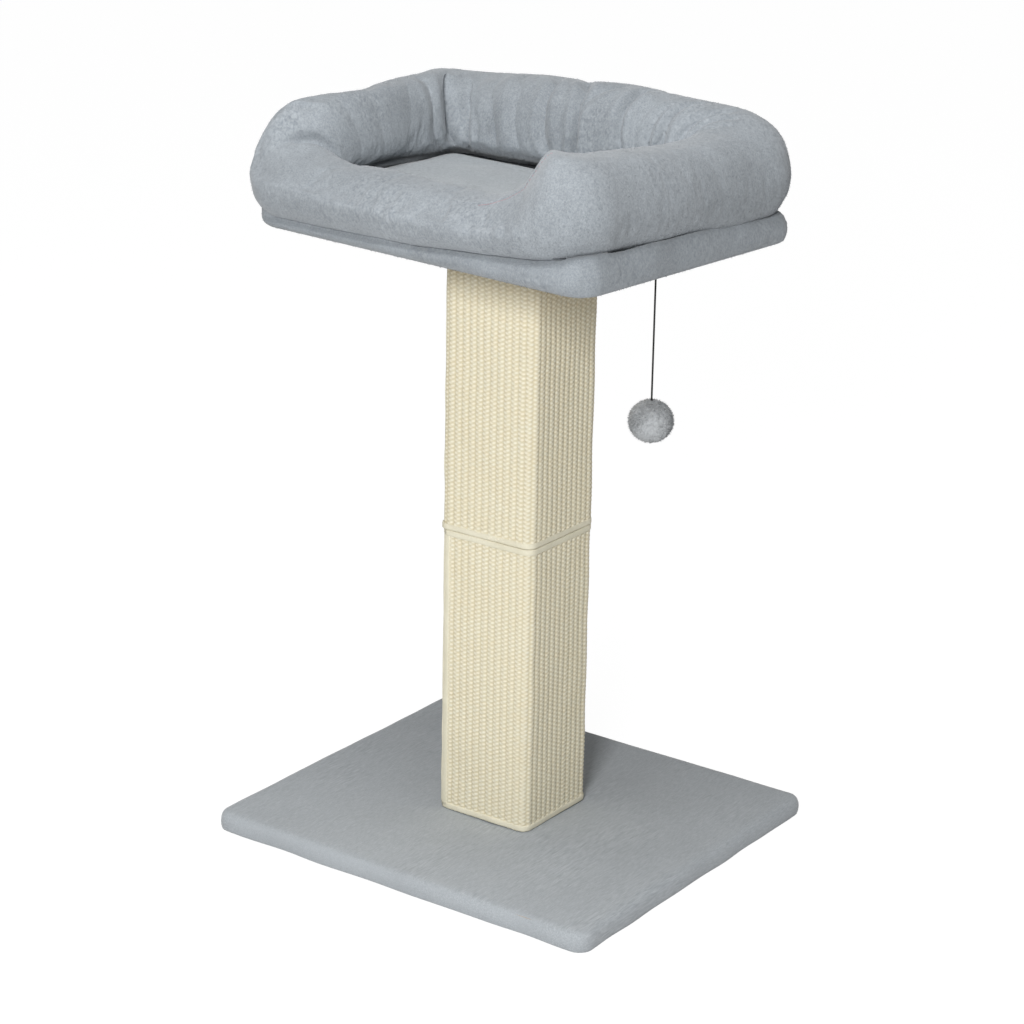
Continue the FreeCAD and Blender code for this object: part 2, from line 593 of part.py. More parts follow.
def toy(wire):
    node("toy_staple", group("toy_staple_group", [wire]), True)
    ring = bind(doc.addObject("Part::Torus", "toy_loop_ring"),
                Radius1="cord_loop_radius", Radius2="cord_diameter / 2")
    ring.Placement = FreeCAD.Placement(ORIGIN, FreeCAD.Rotation(Z_AXIS, FreeCAD.Vector(0, 1, 0)))
    move(ring, TOY_X, "0", LOOP_Z)
    knot = ball("toy_loop_knot", "cord_knot", TOY_X, "0", KNOT_Z)
    node("toy_cord_loop", fuse("toy_loop_whole", [ring, knot]), True)
    run = rod("toy_cord_run", "cord_diameter", f"{SWING_Z} - {STOPPER_Z}", TOY_X, "0", STOPPER_Z)
    top = ball("toy_cord_top", "cord_diameter", TOY_X, "0", SWING_Z)
    stopper = ball("toy_cord_stopper", "cord_stopper", TOY_X, "0", STOPPER_Z)
    node("toy_cord", fuse("toy_cord_whole", [run, top, stopper]), True)
    inside = "ball_diameter - 2 * ball_cloth"
    skin = ball("toy_ball_skin", "ball_diameter", TOY_X, "0", BALL_Z)
    hollow = ball("toy_ball_hollow", inside, TOY_X, "0", BALL_Z)
    hole = rod("toy_ball_hole", "cord_diameter + 2 * rest_gap", "ball_diameter", TOY_X, "0", BALL_Z)
    node("toy_ball_cover", cut("toy_ball_shell", skin, hollow, hole), True)
    core = ball("toy_ball_filling", f"{inside} - 2 * rest_gap", TOY_X, "0", BALL_Z)
    pocket = rod("toy_ball_pocket", "cord_stopper + 2 * rest_gap", "ball_diameter", TOY_X, "0",
                 f"{STOPPER_Z} - cord_stopper / 2 - rest_gap")
    node("toy_ball_core", cut("toy_ball_bored", core, pocket), True)


# The whole object

base()
post()
wire = toy_staple()
platform(wire)
strips("hook_strips", PLATFORM_TOP)
strips("loop_strips", f"{PLATFORM_TOP} + strip_thickness + rest_gap")
bed()
toy(wire)
doc.recompute()

for item in doc.Objects:
    if {"Invalid", "Error"} & set(item.State):
        raise RuntimeError(f"{item.Label} failed: {item.State}")
for piece in NODES:
    if piece.Shape.isNull() or not piece.Shape.isValid() or not piece.Shape.Solids:
        raise RuntimeError(f"{piece.Label} has no valid solid")

os.makedirs("parts", exist_ok=True)
for piece in NODES:
    piece.Shape.exportStep(f"parts/{piece.Label}.step")
    print(piece.Label, len(piece.Shape.Solids), "solids", round(piece.Shape.Volume), "mm3")
print(len(NODES), "nodes")
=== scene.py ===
# %% [markdown]
# # A cat scratcher with a bed
# The frame brings in the construction at its real size: boards, post panels, bolts, tee nuts and
# plain solids for everything soft. This lesson dresses it: plush over the boards, woven sisal round
# the post, a stuffed bed that slumps over its platform, and a ball on a cord.
# All lengths are in metres, in the frame that the construction uses.

# %% Load the frame
import json
import math
import bmesh
import bpy
import numpy as np
from mathutils import Matrix, Vector


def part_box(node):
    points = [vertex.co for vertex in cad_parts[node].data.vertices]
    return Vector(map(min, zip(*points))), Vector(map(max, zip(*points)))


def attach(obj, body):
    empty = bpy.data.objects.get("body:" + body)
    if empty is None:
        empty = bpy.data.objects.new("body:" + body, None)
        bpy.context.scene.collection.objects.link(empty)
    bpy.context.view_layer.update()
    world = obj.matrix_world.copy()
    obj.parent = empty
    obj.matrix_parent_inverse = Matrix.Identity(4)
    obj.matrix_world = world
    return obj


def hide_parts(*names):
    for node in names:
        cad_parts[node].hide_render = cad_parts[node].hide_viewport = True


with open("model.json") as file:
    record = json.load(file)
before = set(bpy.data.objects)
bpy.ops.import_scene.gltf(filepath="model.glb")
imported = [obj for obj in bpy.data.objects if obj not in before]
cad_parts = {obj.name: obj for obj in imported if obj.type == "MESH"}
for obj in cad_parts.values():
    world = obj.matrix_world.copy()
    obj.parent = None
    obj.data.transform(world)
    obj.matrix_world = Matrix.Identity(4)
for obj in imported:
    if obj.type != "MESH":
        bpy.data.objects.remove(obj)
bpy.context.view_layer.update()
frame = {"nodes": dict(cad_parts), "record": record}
scene = bpy.context.scene

# %% [markdown]
# ## Camera
# The base and the post are square, so their edges gave the place of the camera: a long lens, to the
# right of the front and above the bed. The small shift keeps the framing.

# %% Camera
CAMERA_AZIMUTH = math.radians(35.31)
CAMERA_ELEVATION = math.radians(18.41)
CAMERA_ROLL = math.radians(1.12)
CAMERA_DISTANCE = 2.889
CAMERA_TARGET = Vector((0, 0, 0.378))
CAMERA_LENS_MM = 102.92
CAMERA_SHIFT_SHARES = (-0.0068, -0.0404)


def place_camera():
    """A camera that looks from its angle at the target, rolled a little."""
    level = math.cos(CAMERA_ELEVATION)
    back = Vector((math.sin(CAMERA_AZIMUTH) * level, -math.cos(CAMERA_AZIMUTH) * level,
                   math.sin(CAMERA_ELEVATION)))
    right = Vector((math.cos(CAMERA_AZIMUTH), math.sin(CAMERA_AZIMUTH), 0))
    up = back.cross(right)
    cosine, sine = math.cos(CAMERA_ROLL), math.sin(CAMERA_ROLL)
    turned = Matrix((cosine * right + sine * up, cosine * up - sine * right, back)).transposed()
    data = bpy.data.cameras.new("camera")
    data.lens = CAMERA_LENS_MM
    data.shift_x, data.shift_y = CAMERA_SHIFT_SHARES
    camera = bpy.data.objects.new("camera", data)
    scene.collection.objects.link(camera)
    camera.matrix_world = Matrix.Translation(CAMERA_TARGET + back * CAMERA_DISTANCE) @ turned.to_4x4()
    scene.camera = camera
    return camera


print("camera at", tuple(round(v, 3) for v in place_camera().location))

# %% [markdown]
# ## Light and floor
# As in a studio with pale walls, the world gives even light. A wide lamp hangs overhead, so that
# the platform shades the base, and a stronger one stands off to the front right and lights the post
# and the bed's front. The floor looks white to the camera and still takes a shadow.

# %% Light and floor
scene.view_settings.view_transform = "Standard"
WORLD_LIGHT = 0.25
OVERHEAD_POWER = 26
OVERHEAD_SIZE = 1.2
OVERHEAD_PLACE = Vector((0.14, -0.66, 2.9))
FRONT_POWER = 60
FRONT_SIZE = 0.6
FRONT_PLACE = Vector((1.14, -2.44, 1.71))
LAMP_TARGET = Vector((0, 0, 0.35))
FLOOR_HALF = 14.0
FLOOR_SHADE = 0.8
FLOOR_SHADOW_SHARE = 0.12
FLOOR_GLOW = 1.09


def add_node(tree, kind, **values):
    """A shader node, with its properties and its input sockets set by name."""
    node = tree.nodes.new(kind)
    for name, value in values.items():
        if hasattr(node, name):
            setattr(node, name, value)
        else:
            node.inputs[name.replace("_", " ")].default_value = value
    return node


def light_the_world():
    """White to the camera, mirrors and glass, and a plain level of light to everything else."""
    world = bpy.data.worlds.new("studio")
    world.use_nodes = True
    tree = world.node_tree
    ray = add_node(tree, "ShaderNodeLightPath")
    seen = add_node(tree, "ShaderNodeMath", operation="MAXIMUM")
    sharp = add_node(tree, "ShaderNodeMath", operation="MAXIMUM")
    strength = add_node(tree, "ShaderNodeMix")
    strength.inputs["A"].default_value = WORLD_LIGHT
    strength.inputs["B"].default_value = 1.0
    tree.links.new(ray.outputs["Is Glossy Ray"], sharp.inputs[0])
    tree.links.new(ray.outputs["Is Transmission Ray"], sharp.inputs[1])
    tree.links.new(ray.outputs["Is Camera Ray"], seen.inputs[0])
    tree.links.new(sharp.outputs[0], seen.inputs[1])
    tree.links.new(seen.outputs[0], strength.inputs["Factor"])
    tree.links.new(strength.outputs["Result"], tree.nodes["Background"].inputs["Strength"])
    tree.nodes["Background"].inputs["Color"].default_value = (1, 1, 1, 1)
    scene.world = world


def hang_lamp(name, power, size, place):
    """A wide square lamp that faces the object."""
    data = bpy.data.lights.new(name, "AREA")
    data.energy = power
    data.size = size
    lamp = bpy.data.objects.new(name, data)
    lamp.location = place
    lamp.rotation_euler = (LAMP_TARGET - place).to_track_quat("-Z", "Y").to_euler()
    scene.collection.objects.link(lamp)


def lay_floor():
    """A pale floor that the camera sees as white, less a share of the object's shadow."""
    material = bpy.data.materials.new("floor")
    material.use_nodes = True
    tree = material.node_tree
    paint = tree.nodes["Principled BSDF"]
    paint.inputs["Base Color"].default_value = (FLOOR_SHADE, FLOOR_SHADE, FLOOR_SHADE, 1)
    paint.inputs["Roughness"].default_value = 1.0
    glow = add_node(tree, "ShaderNodeEmission", Strength=FLOOR_GLOW)
    ray = add_node(tree, "ShaderNodeLightPath")
    share = add_node(tree, "ShaderNodeMath", operation="MULTIPLY")
    share.inputs[1].default_value = 1 - FLOOR_SHADOW_SHARE
    mix = add_node(tree, "ShaderNodeMixShader")
    tree.links.new(ray.outputs["Is Camera Ray"], share.inputs[0])
    tree.links.new(share.outputs[0], mix.inputs["Fac"])
    tree.links.new(paint.outputs[0], mix.inputs[1])
    tree.links.new(glow.outputs[0], mix.inputs[2])
    tree.links.new(mix.outputs[0], tree.nodes["Material Output"].inputs["Surface"])
    corner_shares = [(-1, -1), (1, -1), (1, 1), (-1, 1)]
    mesh = bpy.data.meshes.new("floor")
    mesh.from_pydata([(x * FLOOR_HALF, y * FLOOR_HALF, 0) for x, y in corner_shares], [], [(0, 1, 2, 3)])
    mesh.materials.append(material)
    floor = bpy.data.objects.new("floor", mesh)
    scene.collection.objects.link(floor)


light_the_world()
hang_lamp("overhead", OVERHEAD_POWER, OVERHEAD_SIZE, OVERHEAD_PLACE)
hang_lamp("front", FRONT_POWER, FRONT_SIZE, FRONT_PLACE)
lay_floor()
print("world", WORLD_LIGHT, "lamps", OVERHEAD_POWER, "W and", FRONT_POWER, "W")

# %% [markdown]
# ## Shapes that repeat
# Most pieces here are grids of points: a row round the piece, a row along it. Arrays make such grids
# quickly, and each grid becomes one mesh. A rectangle with rounded corners is the plan of the base,
# the post, the platform and the bed, so one function walks round it.

# %% Helpers for shapes
TURN = math.radians(-5)
SIDES = 4
UPWARD = np.array([0, 0, 1.0])
TINY = 1e-12
WAVE_SPREAD_SHARES = (0.6, 1.4)
# One seed for each random choice, so that every run gives the same object
SEEDS = {"base edge": 3, "base top": 4, "platform side": 7, "platform pile": 8, "platform tufts": 9,
         "platform lay": 10, "sisal": 20, "tape": 30, "fold": 41, "lump": 51, "clump": 52, "wall tufts": 53,
         "wall lay": 54, "cushion": 61, "ball lump": 71, "ball clump": 72, "ball lay": 73}


def turned(points):
    """Points of the platform's own frame in the shared frame: the platform is turned on the post."""
    points = np.asarray(points, float)
    cosine, sine = math.cos(TURN), math.sin(TURN)
    x = points[..., 0] * cosine - points[..., 1] * sine
    y = points[..., 0] * sine + points[..., 1] * cosine
    return np.stack([x, y, points[..., 2]], axis=-1)


def side_walk(walked, straight, across, corner):
    """A walk along one side of a rounded rectangle, from the middle of one corner to the middle of the next:
    how far along the side, how far out from the middle, and the angle of the outward normal."""
    arc = corner * math.pi / 4
    angle = np.where(walked < arc, walked / corner - math.pi / 4,
                     np.maximum(0, (walked - arc - straight) / corner))
    along = np.clip(walked - arc, 0, straight) - straight / 2 + corner * np.sin(angle)
    out = across / 2 - corner + corner * np.cos(angle)
    return along, out, angle


def rounded_loop(width, depth, corner, counts):
    """Points and outward normals round a rectangle, from the middle of its front left corner on.
    Each side runs from the middle of one corner to the middle of the next, with its own count."""
    points, normals = [], []
    arc = corner * math.pi / 4
    for side in range(SIDES):
        length, across = (width, depth) if side % 2 == 0 else (depth, width)
        straight = length - 2 * corner
        count = counts[side % 2]
        walked = np.arange(count) / count * (straight + 2 * arc)
        along, out, angle = side_walk(walked, straight, across, corner)
        place = np.stack([along, -out], axis=-1)
        normal = np.stack([np.sin(angle), -np.cos(angle)], axis=-1)
        for _ in range(side):
            place = np.stack([-place[:, 1], place[:, 0]], axis=-1)
            normal = np.stack([-normal[:, 1], normal[:, 0]], axis=-1)
        points.append(place)
        normals.append(normal)
    return np.concatenate(points), np.concatenate(normals)


def grid_faces(rows, columns, loop_rows=False, loop_columns=False):
    """Quads between the neighbours of a grid of points, closed where asked."""
    index = np.arange(rows * columns).reshape(rows, columns)
    if loop_rows:
        index = np.vstack([index, index[:1]])
    if loop_columns:
        index = np.hstack([index, index[:, :1]])
    return quads(index)


def quads(index):
    """Quads of a grid of point numbers."""
    corners = [index[:-1, :-1], index[:-1, 1:], index[1:, 1:], index[1:, :-1]]
    return np.stack(corners, axis=-1).reshape(-1, 4).tolist()


def joined(forms):
    """Points and faces of several forms as one."""
    points, faces = [], []
    total = 0
    for made, made_faces in forms:
        points.append(made.reshape(-1, 3))
        faces += [[total + corner for corner in face] for face in made_faces]
        total += len(points[-1])
    return np.concatenate(points), faces


def ripple(points, size, seed, waves=32):
    """A smooth random field of about unit height whose bumps are about the size given."""
    rng = np.random.default_rng(seed)
    field = np.zeros(points.shape[:-1])
    for _ in range(waves):
        direction = rng.normal(size=3)
        direction *= math.pi / size * rng.uniform(*WAVE_SPREAD_SHARES) / np.linalg.norm(direction)
        field += np.sin(points @ direction + rng.uniform(0, 2 * math.pi))
    return field * math.sqrt(2 / waves)


def bump(distance, width):
    """A soft hump of height 1 about 0."""
    return np.exp(-(distance / width) ** 2)


def unit(vectors):
    """Vectors scaled to length 1."""
    return vectors / np.maximum(np.linalg.norm(vectors, axis=-1, keepdims=True), TINY)


def ease(low, high, value):
    """0 below low, 1 above high and smooth between them."""
    share = np.clip((value - low) / (high - low), 0, 1)
    return share * share * (3 - 2 * share)


def make_piece(name, points, faces, material, body, slot):
    """A smooth mesh piece that rides on a body and has the finish given."""
    mesh = bpy.data.meshes.new(name)
    mesh.from_pydata(np.asarray(points).reshape(-1, 3).tolist(), [], faces)
    shape = bmesh.new()
    shape.from_mesh(mesh)
    bmesh.ops.recalc_face_normals(shape, faces=shape.faces)
    shape.to_mesh(mesh)
    shape.free()
    mesh.shade_smooth()
    mesh.materials.append(material)
    piece = bpy.data.objects.new(name, mesh)
    scene.collection.objects.link(piece)
    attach(piece, body)
    print(name, len(mesh.vertices), "points")
    return piece


# %% [markdown]
# ## Plush
# The bed, the platform, the base and the ball are covered in short plush. Its pile stands in small
# clumps, with painted shade in the gaps between them, and strokes of the hand leave paler and darker patches.
# Hair would not travel with the model, so the pile is a height that bumps the surface, and the
# meshes get a fine unevenness of their own. Five finishes share the effect, so it is a node group.

# %% A node group for pile
def linear(red, green, blue):
    """A colour written as 0 to 255 steps on a screen, as the shader's linear colour."""
    shares = [value / 255 for value in (red, green, blue)]
    return tuple(v / 12.92 if v <= 0.04045 else ((v + 0.055) / 1.055) ** 2.4 for v in shares) + (1,)


def new_group(name, inputs, outputs):
    """An empty shader node group with named sockets."""
    group = bpy.data.node_groups.new(name, "ShaderNodeTree")
    for title, kind, value in inputs:
        socket = group.interface.new_socket(title, in_out="INPUT", socket_type=kind)
        socket.default_value = value
    for title, kind in outputs:
        group.interface.new_socket(title, in_out="OUTPUT", socket_type=kind)
    start = group.nodes.new("NodeGroupInput")
    end = group.nodes.new("NodeGroupOutput")
    return group, start, end


def feed(tree, socket, value):
    """A value into a socket: a link if it comes from another socket, or else the plain value."""
    if isinstance(value, bpy.types.NodeSocket):
        tree.links.new(value, socket)
    else:
        socket.default_value = value


def mixed(tree, factor, first, second, blend="MIX"):
    """A colour mixed from two sockets or colours."""
    node = add_node(tree, "ShaderNodeMix", data_type="RGBA", blend_type=blend)
    for name, value in (("Factor_Float", factor), ("A_Color", first), ("B_Color", second)):
        feed(tree, next(s for s in node.inputs if s.identifier == name), value)
    return next(s for s in node.outputs if s.identifier == "Result_Color")


def computed(tree, operation, *values):
    """A number worked out from sockets or numbers."""
    node = add_node(tree, "ShaderNodeMath", operation=operation)
    for socket, value in zip(node.inputs, values):
        feed(tree, socket, value)
    return node.outputs[0]


def mapped_range(tree, value, low, high, to_low=0.0, to_high=1.0):
    """A value stretched from one range to another and kept inside it."""
    node = add_node(tree, "ShaderNodeMapRange", From_Min=low, From_Max=high, To_Min=to_low, To_Max=to_high)
    tree.links.new(value, node.inputs["Value"])
    return node.outputs["Result"]


def scaled_place(tree, scale):
    """The place on the object, in metres, scaled along each axis by a vector socket or value."""
    place = add_node(tree, "ShaderNodeTexCoord")
    node = add_node(tree, "ShaderNodeVectorMath", operation="MULTIPLY")
    tree.links.new(place.outputs["Object"], node.inputs[0])
    feed(tree, node.inputs[1], scale)
    return node.outputs["Vector"]


def noise(tree, vector, scale, detail=2.0, rough=0.5, distortion=0.0):
    """A noise texture's value about a place."""
    node = add_node(tree, "ShaderNodeTexNoise", Detail=detail, Roughness=rough, Distortion=distortion)
    tree.links.new(vector, node.inputs["Vector"])
    feed(tree, node.inputs["Scale"], scale)
    return node.outputs["Fac"]


def weighed(tree, first, first_share, second, second_share):
    """Two values added by their shares."""
    return computed(tree, "ADD", computed(tree, "MULTIPLY", first, first_share),
                    computed(tree, "MULTIPLY", second, second_share))


# Sizes of other marks in the pile, as shares of how many clumps or patches a metre holds
MARK_SHARES = {"fibres": 2.7, "strokes": 0.2, "fluff": 0.5, "worn": 1.3}
CLUMP_SHARE = 0.6
PATCH_SHARE = 0.6
WORN_SHARE = 0.55
WORN_RANGE_SHARES = (0.42, 0.62)
PILE_RANGE_SHARES = (0.25, 0.75)
STROKE_RANGE_SHARES = (0.2, 0.8)


def pile_group():
    """Clumps of pile with painted shade in the gaps between them, fine fibres, and patches that a hand has
    brushed.
    """
    group, start, end = new_group(
        "plush pile",
        [("Tips", "NodeSocketColor", linear(190, 195, 199)), ("Gaps", "NodeSocketColor", linear(120, 126, 132)),
         ("Stretch", "NodeSocketVector", (1, 1, 1)), ("Clumps", "NodeSocketFloat", 330.0),
         ("Patches", "NodeSocketFloat", 22.0), ("Patch Depth", "NodeSocketFloat", 0.3)],
        [("Colour", "NodeSocketColor"), ("Height", "NodeSocketFloat")])
    scales = {name: computed(group, "MULTIPLY", start.outputs["Patches" if name == "worn" else "Clumps"], share)
              for name, share in MARK_SHARES.items()}
    place = scaled_place(group, start.outputs["Stretch"])
    even_place = scaled_place(group, (1, 1, 1))
    clumps = noise(group, place, start.outputs["Clumps"], detail=2.0, rough=0.6, distortion=0.3)
    fibres = noise(group, place, scales["fibres"], detail=2.0)
    strokes = noise(group, place, scales["strokes"], detail=2.0)
    fluff = noise(group, place, scales["fluff"], detail=1.0, distortion=0.8)
    patches = noise(group, even_place, start.outputs["Patches"], detail=3.0, distortion=0.6)
    worn = mapped_range(group, noise(group, even_place, scales["worn"]), *WORN_RANGE_SHARES)
    share = computed(group, "MULTIPLY", worn, WORN_SHARE)
    even = weighed(group, clumps, CLUMP_SHARE, fibres, 1 - CLUMP_SHARE)
    height = weighed(group, even, computed(group, "SUBTRACT", 1.0, share), fluff, share)
    # Painted shade: where the pile is low, between its clumps, it takes the darker Gaps colour
    cover = mapped_range(group, height, *PILE_RANGE_SHARES)
    piled = mixed(group, cover, start.outputs["Gaps"], start.outputs["Tips"])
    brushed = weighed(group, mapped_range(group, patches, *PILE_RANGE_SHARES), PATCH_SHARE,
                      mapped_range(group, strokes, *STROKE_RANGE_SHARES), 1 - PATCH_SHARE)
    shade = computed(group, "SUBTRACT", 1.0, computed(group, "MULTIPLY", start.outputs["Patch Depth"], brushed))
    grey = add_node(group, "ShaderNodeCombineColor")
    for channel in ("Red", "Green", "Blue"):
        group.links.new(shade, grey.inputs[channel])
    group.links.new(mixed(group, 1.0, piled, grey.outputs["Color"], "MULTIPLY"), end.inputs["Colour"])
    group.links.new(height, end.inputs["Height"])
    return group


PILE = pile_group()
print("group", PILE.name, [s.name for s in PILE.interface.items_tree])

# %% Plush finishes
PLUSH_ROUGHNESS = 0.95
PLUSH_SHEEN = 0.25
PLUSH_SHEEN_ROUGHNESS = 0.5
PLUSH_SPECULAR = 0.15


def bump_normal(tree, height, strength, depth):
    """A normal bumped by a height, for the shader's Normal socket."""
    node = add_node(tree, "ShaderNodeBump", Strength=strength, Distance=depth)
    tree.links.new(height, node.inputs["Height"])
    return node.outputs["Normal"]


def cloth_shader(name, roughness, sheen=0.0, specular=PLUSH_SPECULAR):
    """A material with a matt shader, ready for its colour and normal."""
    material = bpy.data.materials.new(name)
    material.use_nodes = True
    shader = material.node_tree.nodes["Principled BSDF"]
    shader.inputs["Roughness"].default_value = roughness
    shader.inputs["Sheen Weight"].default_value = sheen
    shader.inputs["Sheen Roughness"].default_value = PLUSH_SHEEN_ROUGHNESS
    shader.inputs["Specular IOR Level"].default_value = specular
    return material, material.node_tree, shader


def placed_group(tree, group, **values):
    """A group's colour and height in a material, with its own values for the group's inputs."""
    node = add_node(tree, "ShaderNodeGroup", node_tree=group)
    for name, value in values.items():
        node.inputs[name.replace("_", " ").title()].default_value = value
    return node.outputs["Colour"], node.outputs["Height"]


def grouped(name, group, strength, depth, roughness, sheen=0.0, **values):
    """A finish that takes its colour and its bumps from a group."""
    material, tree, shader = cloth_shader(name, roughness, sheen)
    colour, height = placed_group(tree, group, **values)
    tree.links.new(colour, shader.inputs["Base Color"])
    tree.links.new(bump_normal(tree, height, strength, depth), shader.inputs["Normal"])
    return material


def plush(name, **values):
    """A plush finish: the pile's colour and height under a soft sheen."""
    return grouped(name, PILE, roughness=PLUSH_ROUGHNESS, sheen=PLUSH_SHEEN, **values)


# In each plush finish, Gaps is the painted shade between the clumps of pile
BED_PLUSH = plush("bed plush", tips=linear(186, 192, 197), gaps=linear(132, 139, 146), stretch=(1, 1, 0.75),
                  clumps=620.0, patches=13.0, patch_depth=0.30, strength=0.55, depth=0.0009)
FLOOR_PLUSH = plush("cushion plush", tips=linear(188, 194, 198), gaps=linear(140, 147, 152), stretch=(1, 1, 1),
                    clumps=560.0, patches=20.0, patch_depth=0.18, strength=0.4, depth=0.0006)
# The platform's plush is a copy of the bed's, a little darker: painted shade for the bed that stands over it
PLATFORM_PLUSH = plush("platform plush", tips=linear(178, 184, 189), gaps=linear(130, 137, 144),
                       stretch=(1, 1, 0.75), clumps=620.0, patches=16.0, patch_depth=0.26, strength=0.45,
                       depth=0.0008)
BASE_PLUSH = plush("base plush", tips=linear(195, 200, 204), gaps=linear(148, 154, 159), stretch=(1, 0.10, 1),
                   clumps=1500.0, patches=9.0, patch_depth=0.16, strength=0.2, depth=0.0003)
BALL_PLUSH = plush("ball plush", tips=linear(206, 209, 211), gaps=linear(158, 161, 164), stretch=(1, 1, 1),
                   clumps=520.0, patches=60.0, patch_depth=0.10, strength=0.5, depth=0.0008)
print("plush finishes", [m.name for m in (BED_PLUSH, FLOOR_PLUSH, PLATFORM_PLUSH, BASE_PLUSH, BALL_PLUSH)])

# %% [markdown]
# Where plush meets the white behind it, single tufts show. So the platform, the bed's wall and the ball
# get a coat of short thin cones, rooted just under the skin. The ball's stand out on all sides, and the
# others are brushed down.

# %% Tufts
TUFT_SINK = 0.0004
TUFT_SIDES = 3
TUFT_LENGTH_SHARES = (0.6, 1.2)
PILE_LONG = 0.0018
PILE_THICK = 0.00028
PILE_SPREAD = 0.6
PILE_LAY = np.array([0.25, 0, -0.9])


def tuft_coat(roots, facing, lay, length, thick, spread, seed):
    """Thin cones on a skin: each stands between the skin's facing and the lay of the pile, and a bit astray."""
    rng = np.random.default_rng(seed)
    count = len(roots)
    heading = unit(facing + lay + rng.normal(0, spread, facing.shape))
    side = unit(np.cross(facing, rng.normal(size=facing.shape)))
    other = np.cross(facing, side)
    foot = roots - facing * TUFT_SINK
    tips = foot + heading * (length * rng.uniform(*TUFT_LENGTH_SHARES, count))[:, None]
    angles = 2 * math.pi / TUFT_SIDES * np.arange(TUFT_SIDES)
    corners = [foot + thick * (math.cos(angle) * side + math.sin(angle) * other) for angle in angles]
    points = np.stack(corners + [tips], axis=1).reshape(-1, 3)
    cone = np.array([[0, 1, 3], [1, 2, 3], [2, 0, 3], [2, 1, 0]])
    faces = (cone[None] + (TUFT_SIDES + 1) * np.arange(count)[:, None, None]).reshape(-1, 3)
    return points, faces.tolist()


def surface_normals(points):
    """Outward normals of a closed grid."""
    round_bed = np.roll(points, -1, axis=0) - np.roll(points, 1, axis=0)
    round_section = np.roll(points, -1, axis=1) - np.roll(points, 1, axis=1)
    return unit(np.cross(round_section, round_bed))


def scattered(points, facing, wanted, count, seed):
    """Random places on a closed grid where it is wanted, as even as its area, with their facing."""
    rng = np.random.default_rng(seed)
    along = np.roll(points, -1, axis=0) - points
    across = np.roll(points, -1, axis=1) - points
    weight = np.linalg.norm(np.cross(along, across), axis=2) * wanted
    cells = rng.choice(weight.size, count, p=(weight / weight.sum()).ravel())
    row, column = np.unravel_index(cells, weight.shape)
    shift_row = rng.uniform(0, 1, (count, 1))
    shift_column = rng.uniform(0, 1, (count, 1))
    roots = points[row, column] + along[row, column] * shift_row + across[row, column] * shift_column
    return roots, facing[row, column]


def brushed_coat(points, facing, wanted, count, name):
    """A coat of brushed tufts on a closed grid where it is wanted."""
    roots, out = scattered(points, facing, wanted, count, SEEDS[f"{name} tufts"])
    return tuft_coat(roots, out, PILE_LAY, PILE_LONG, PILE_THICK, PILE_SPREAD, SEEDS[f"{name} lay"])


# %% [markdown]
# ## Threads
# Sisal, binding tape, the cord and the strips are all made of threads. One group draws fine fibres
# along a chosen direction and gives a soft change of tint from strand to strand.

# %% A node group for threads
THREAD_RANGE_SHARES = (0.3, 0.7)
STRAND_SHARE = 0.25


def thread_group():
    """Fine fibres along the direction of the stretch, and slow changes of tint."""
    group, start, end = new_group(
        "threads",
        [("Pale", "NodeSocketColor", linear(230, 224, 200)), ("Deep", "NodeSocketColor", linear(190, 180, 150)),
         ("Stretch", "NodeSocketVector", (1, 1, 0.1)), ("Fibres", "NodeSocketFloat", 900.0),
         ("Tints", "NodeSocketFloat", 60.0), ("Tint Depth", "NodeSocketFloat", 0.3)],
        [("Colour", "NodeSocketColor"), ("Height", "NodeSocketFloat")])
    place = scaled_place(group, start.outputs["Stretch"])
    fibres = noise(group, place, start.outputs["Fibres"], detail=3.0, rough=0.6)
    tints = noise(group, scaled_place(group, (1, 1, 1)), start.outputs["Tints"], detail=3.0)
    share = computed(group, "MULTIPLY", mapped_range(group, tints, *THREAD_RANGE_SHARES),
                     start.outputs["Tint Depth"])
    strands = computed(group, "MULTIPLY", mapped_range(group, fibres, *THREAD_RANGE_SHARES), STRAND_SHARE)
    depth = computed(group, "MINIMUM", computed(group, "ADD", share, strands), 1.0)
    group.links.new(mixed(group, depth, start.outputs["Pale"], start.outputs["Deep"]), end.inputs["Colour"])
    group.links.new(fibres, end.inputs["Height"])
    return group


def woven(name, roughness=0.9, **values):
    """A plain woven or braided finish."""
    return grouped(name, THREADS, roughness=roughness, **values)


THREADS = thread_group()
CROWN_RANGE_SHARES = (0.1, 0.8)
STRAND_TINT_SHARE = 0.3


def sisal():
    """Sisal: pale where a strand comes up, painted shade between strands and in the rib grooves, a tint of its
    own per strand.
    """
    material, tree, shader = cloth_shader("sisal", roughness=0.85)
    colour, height = placed_group(tree, THREADS, pale=linear(246, 243, 227), deep=linear(237, 231, 208),
                                  stretch=(1, 1, 0.16), fibres=1100.0, tints=45.0, tint_depth=0.4)
    crown = add_node(tree, "ShaderNodeAttribute", attribute_name="crown")
    strand = add_node(tree, "ShaderNodeAttribute", attribute_name="strand")
    unshaded_share = mapped_range(tree, crown.outputs["Fac"], *CROWN_RANGE_SHARES)
    # Painted shade: where the crown attribute is low, between strands and in the rib grooves, the colour goes
    # darker
    deep = mixed(tree, unshaded_share, linear(215, 207, 180), colour)
    tint = computed(tree, "MULTIPLY", strand.outputs["Fac"], STRAND_TINT_SHARE)
    tinted = mixed(tree, tint, deep, linear(238, 224, 200), "MULTIPLY")
    tree.links.new(tinted, shader.inputs["Base Color"])
    tree.links.new(bump_normal(tree, height, strength=0.4, depth=0.0004), shader.inputs["Normal"])
    return material


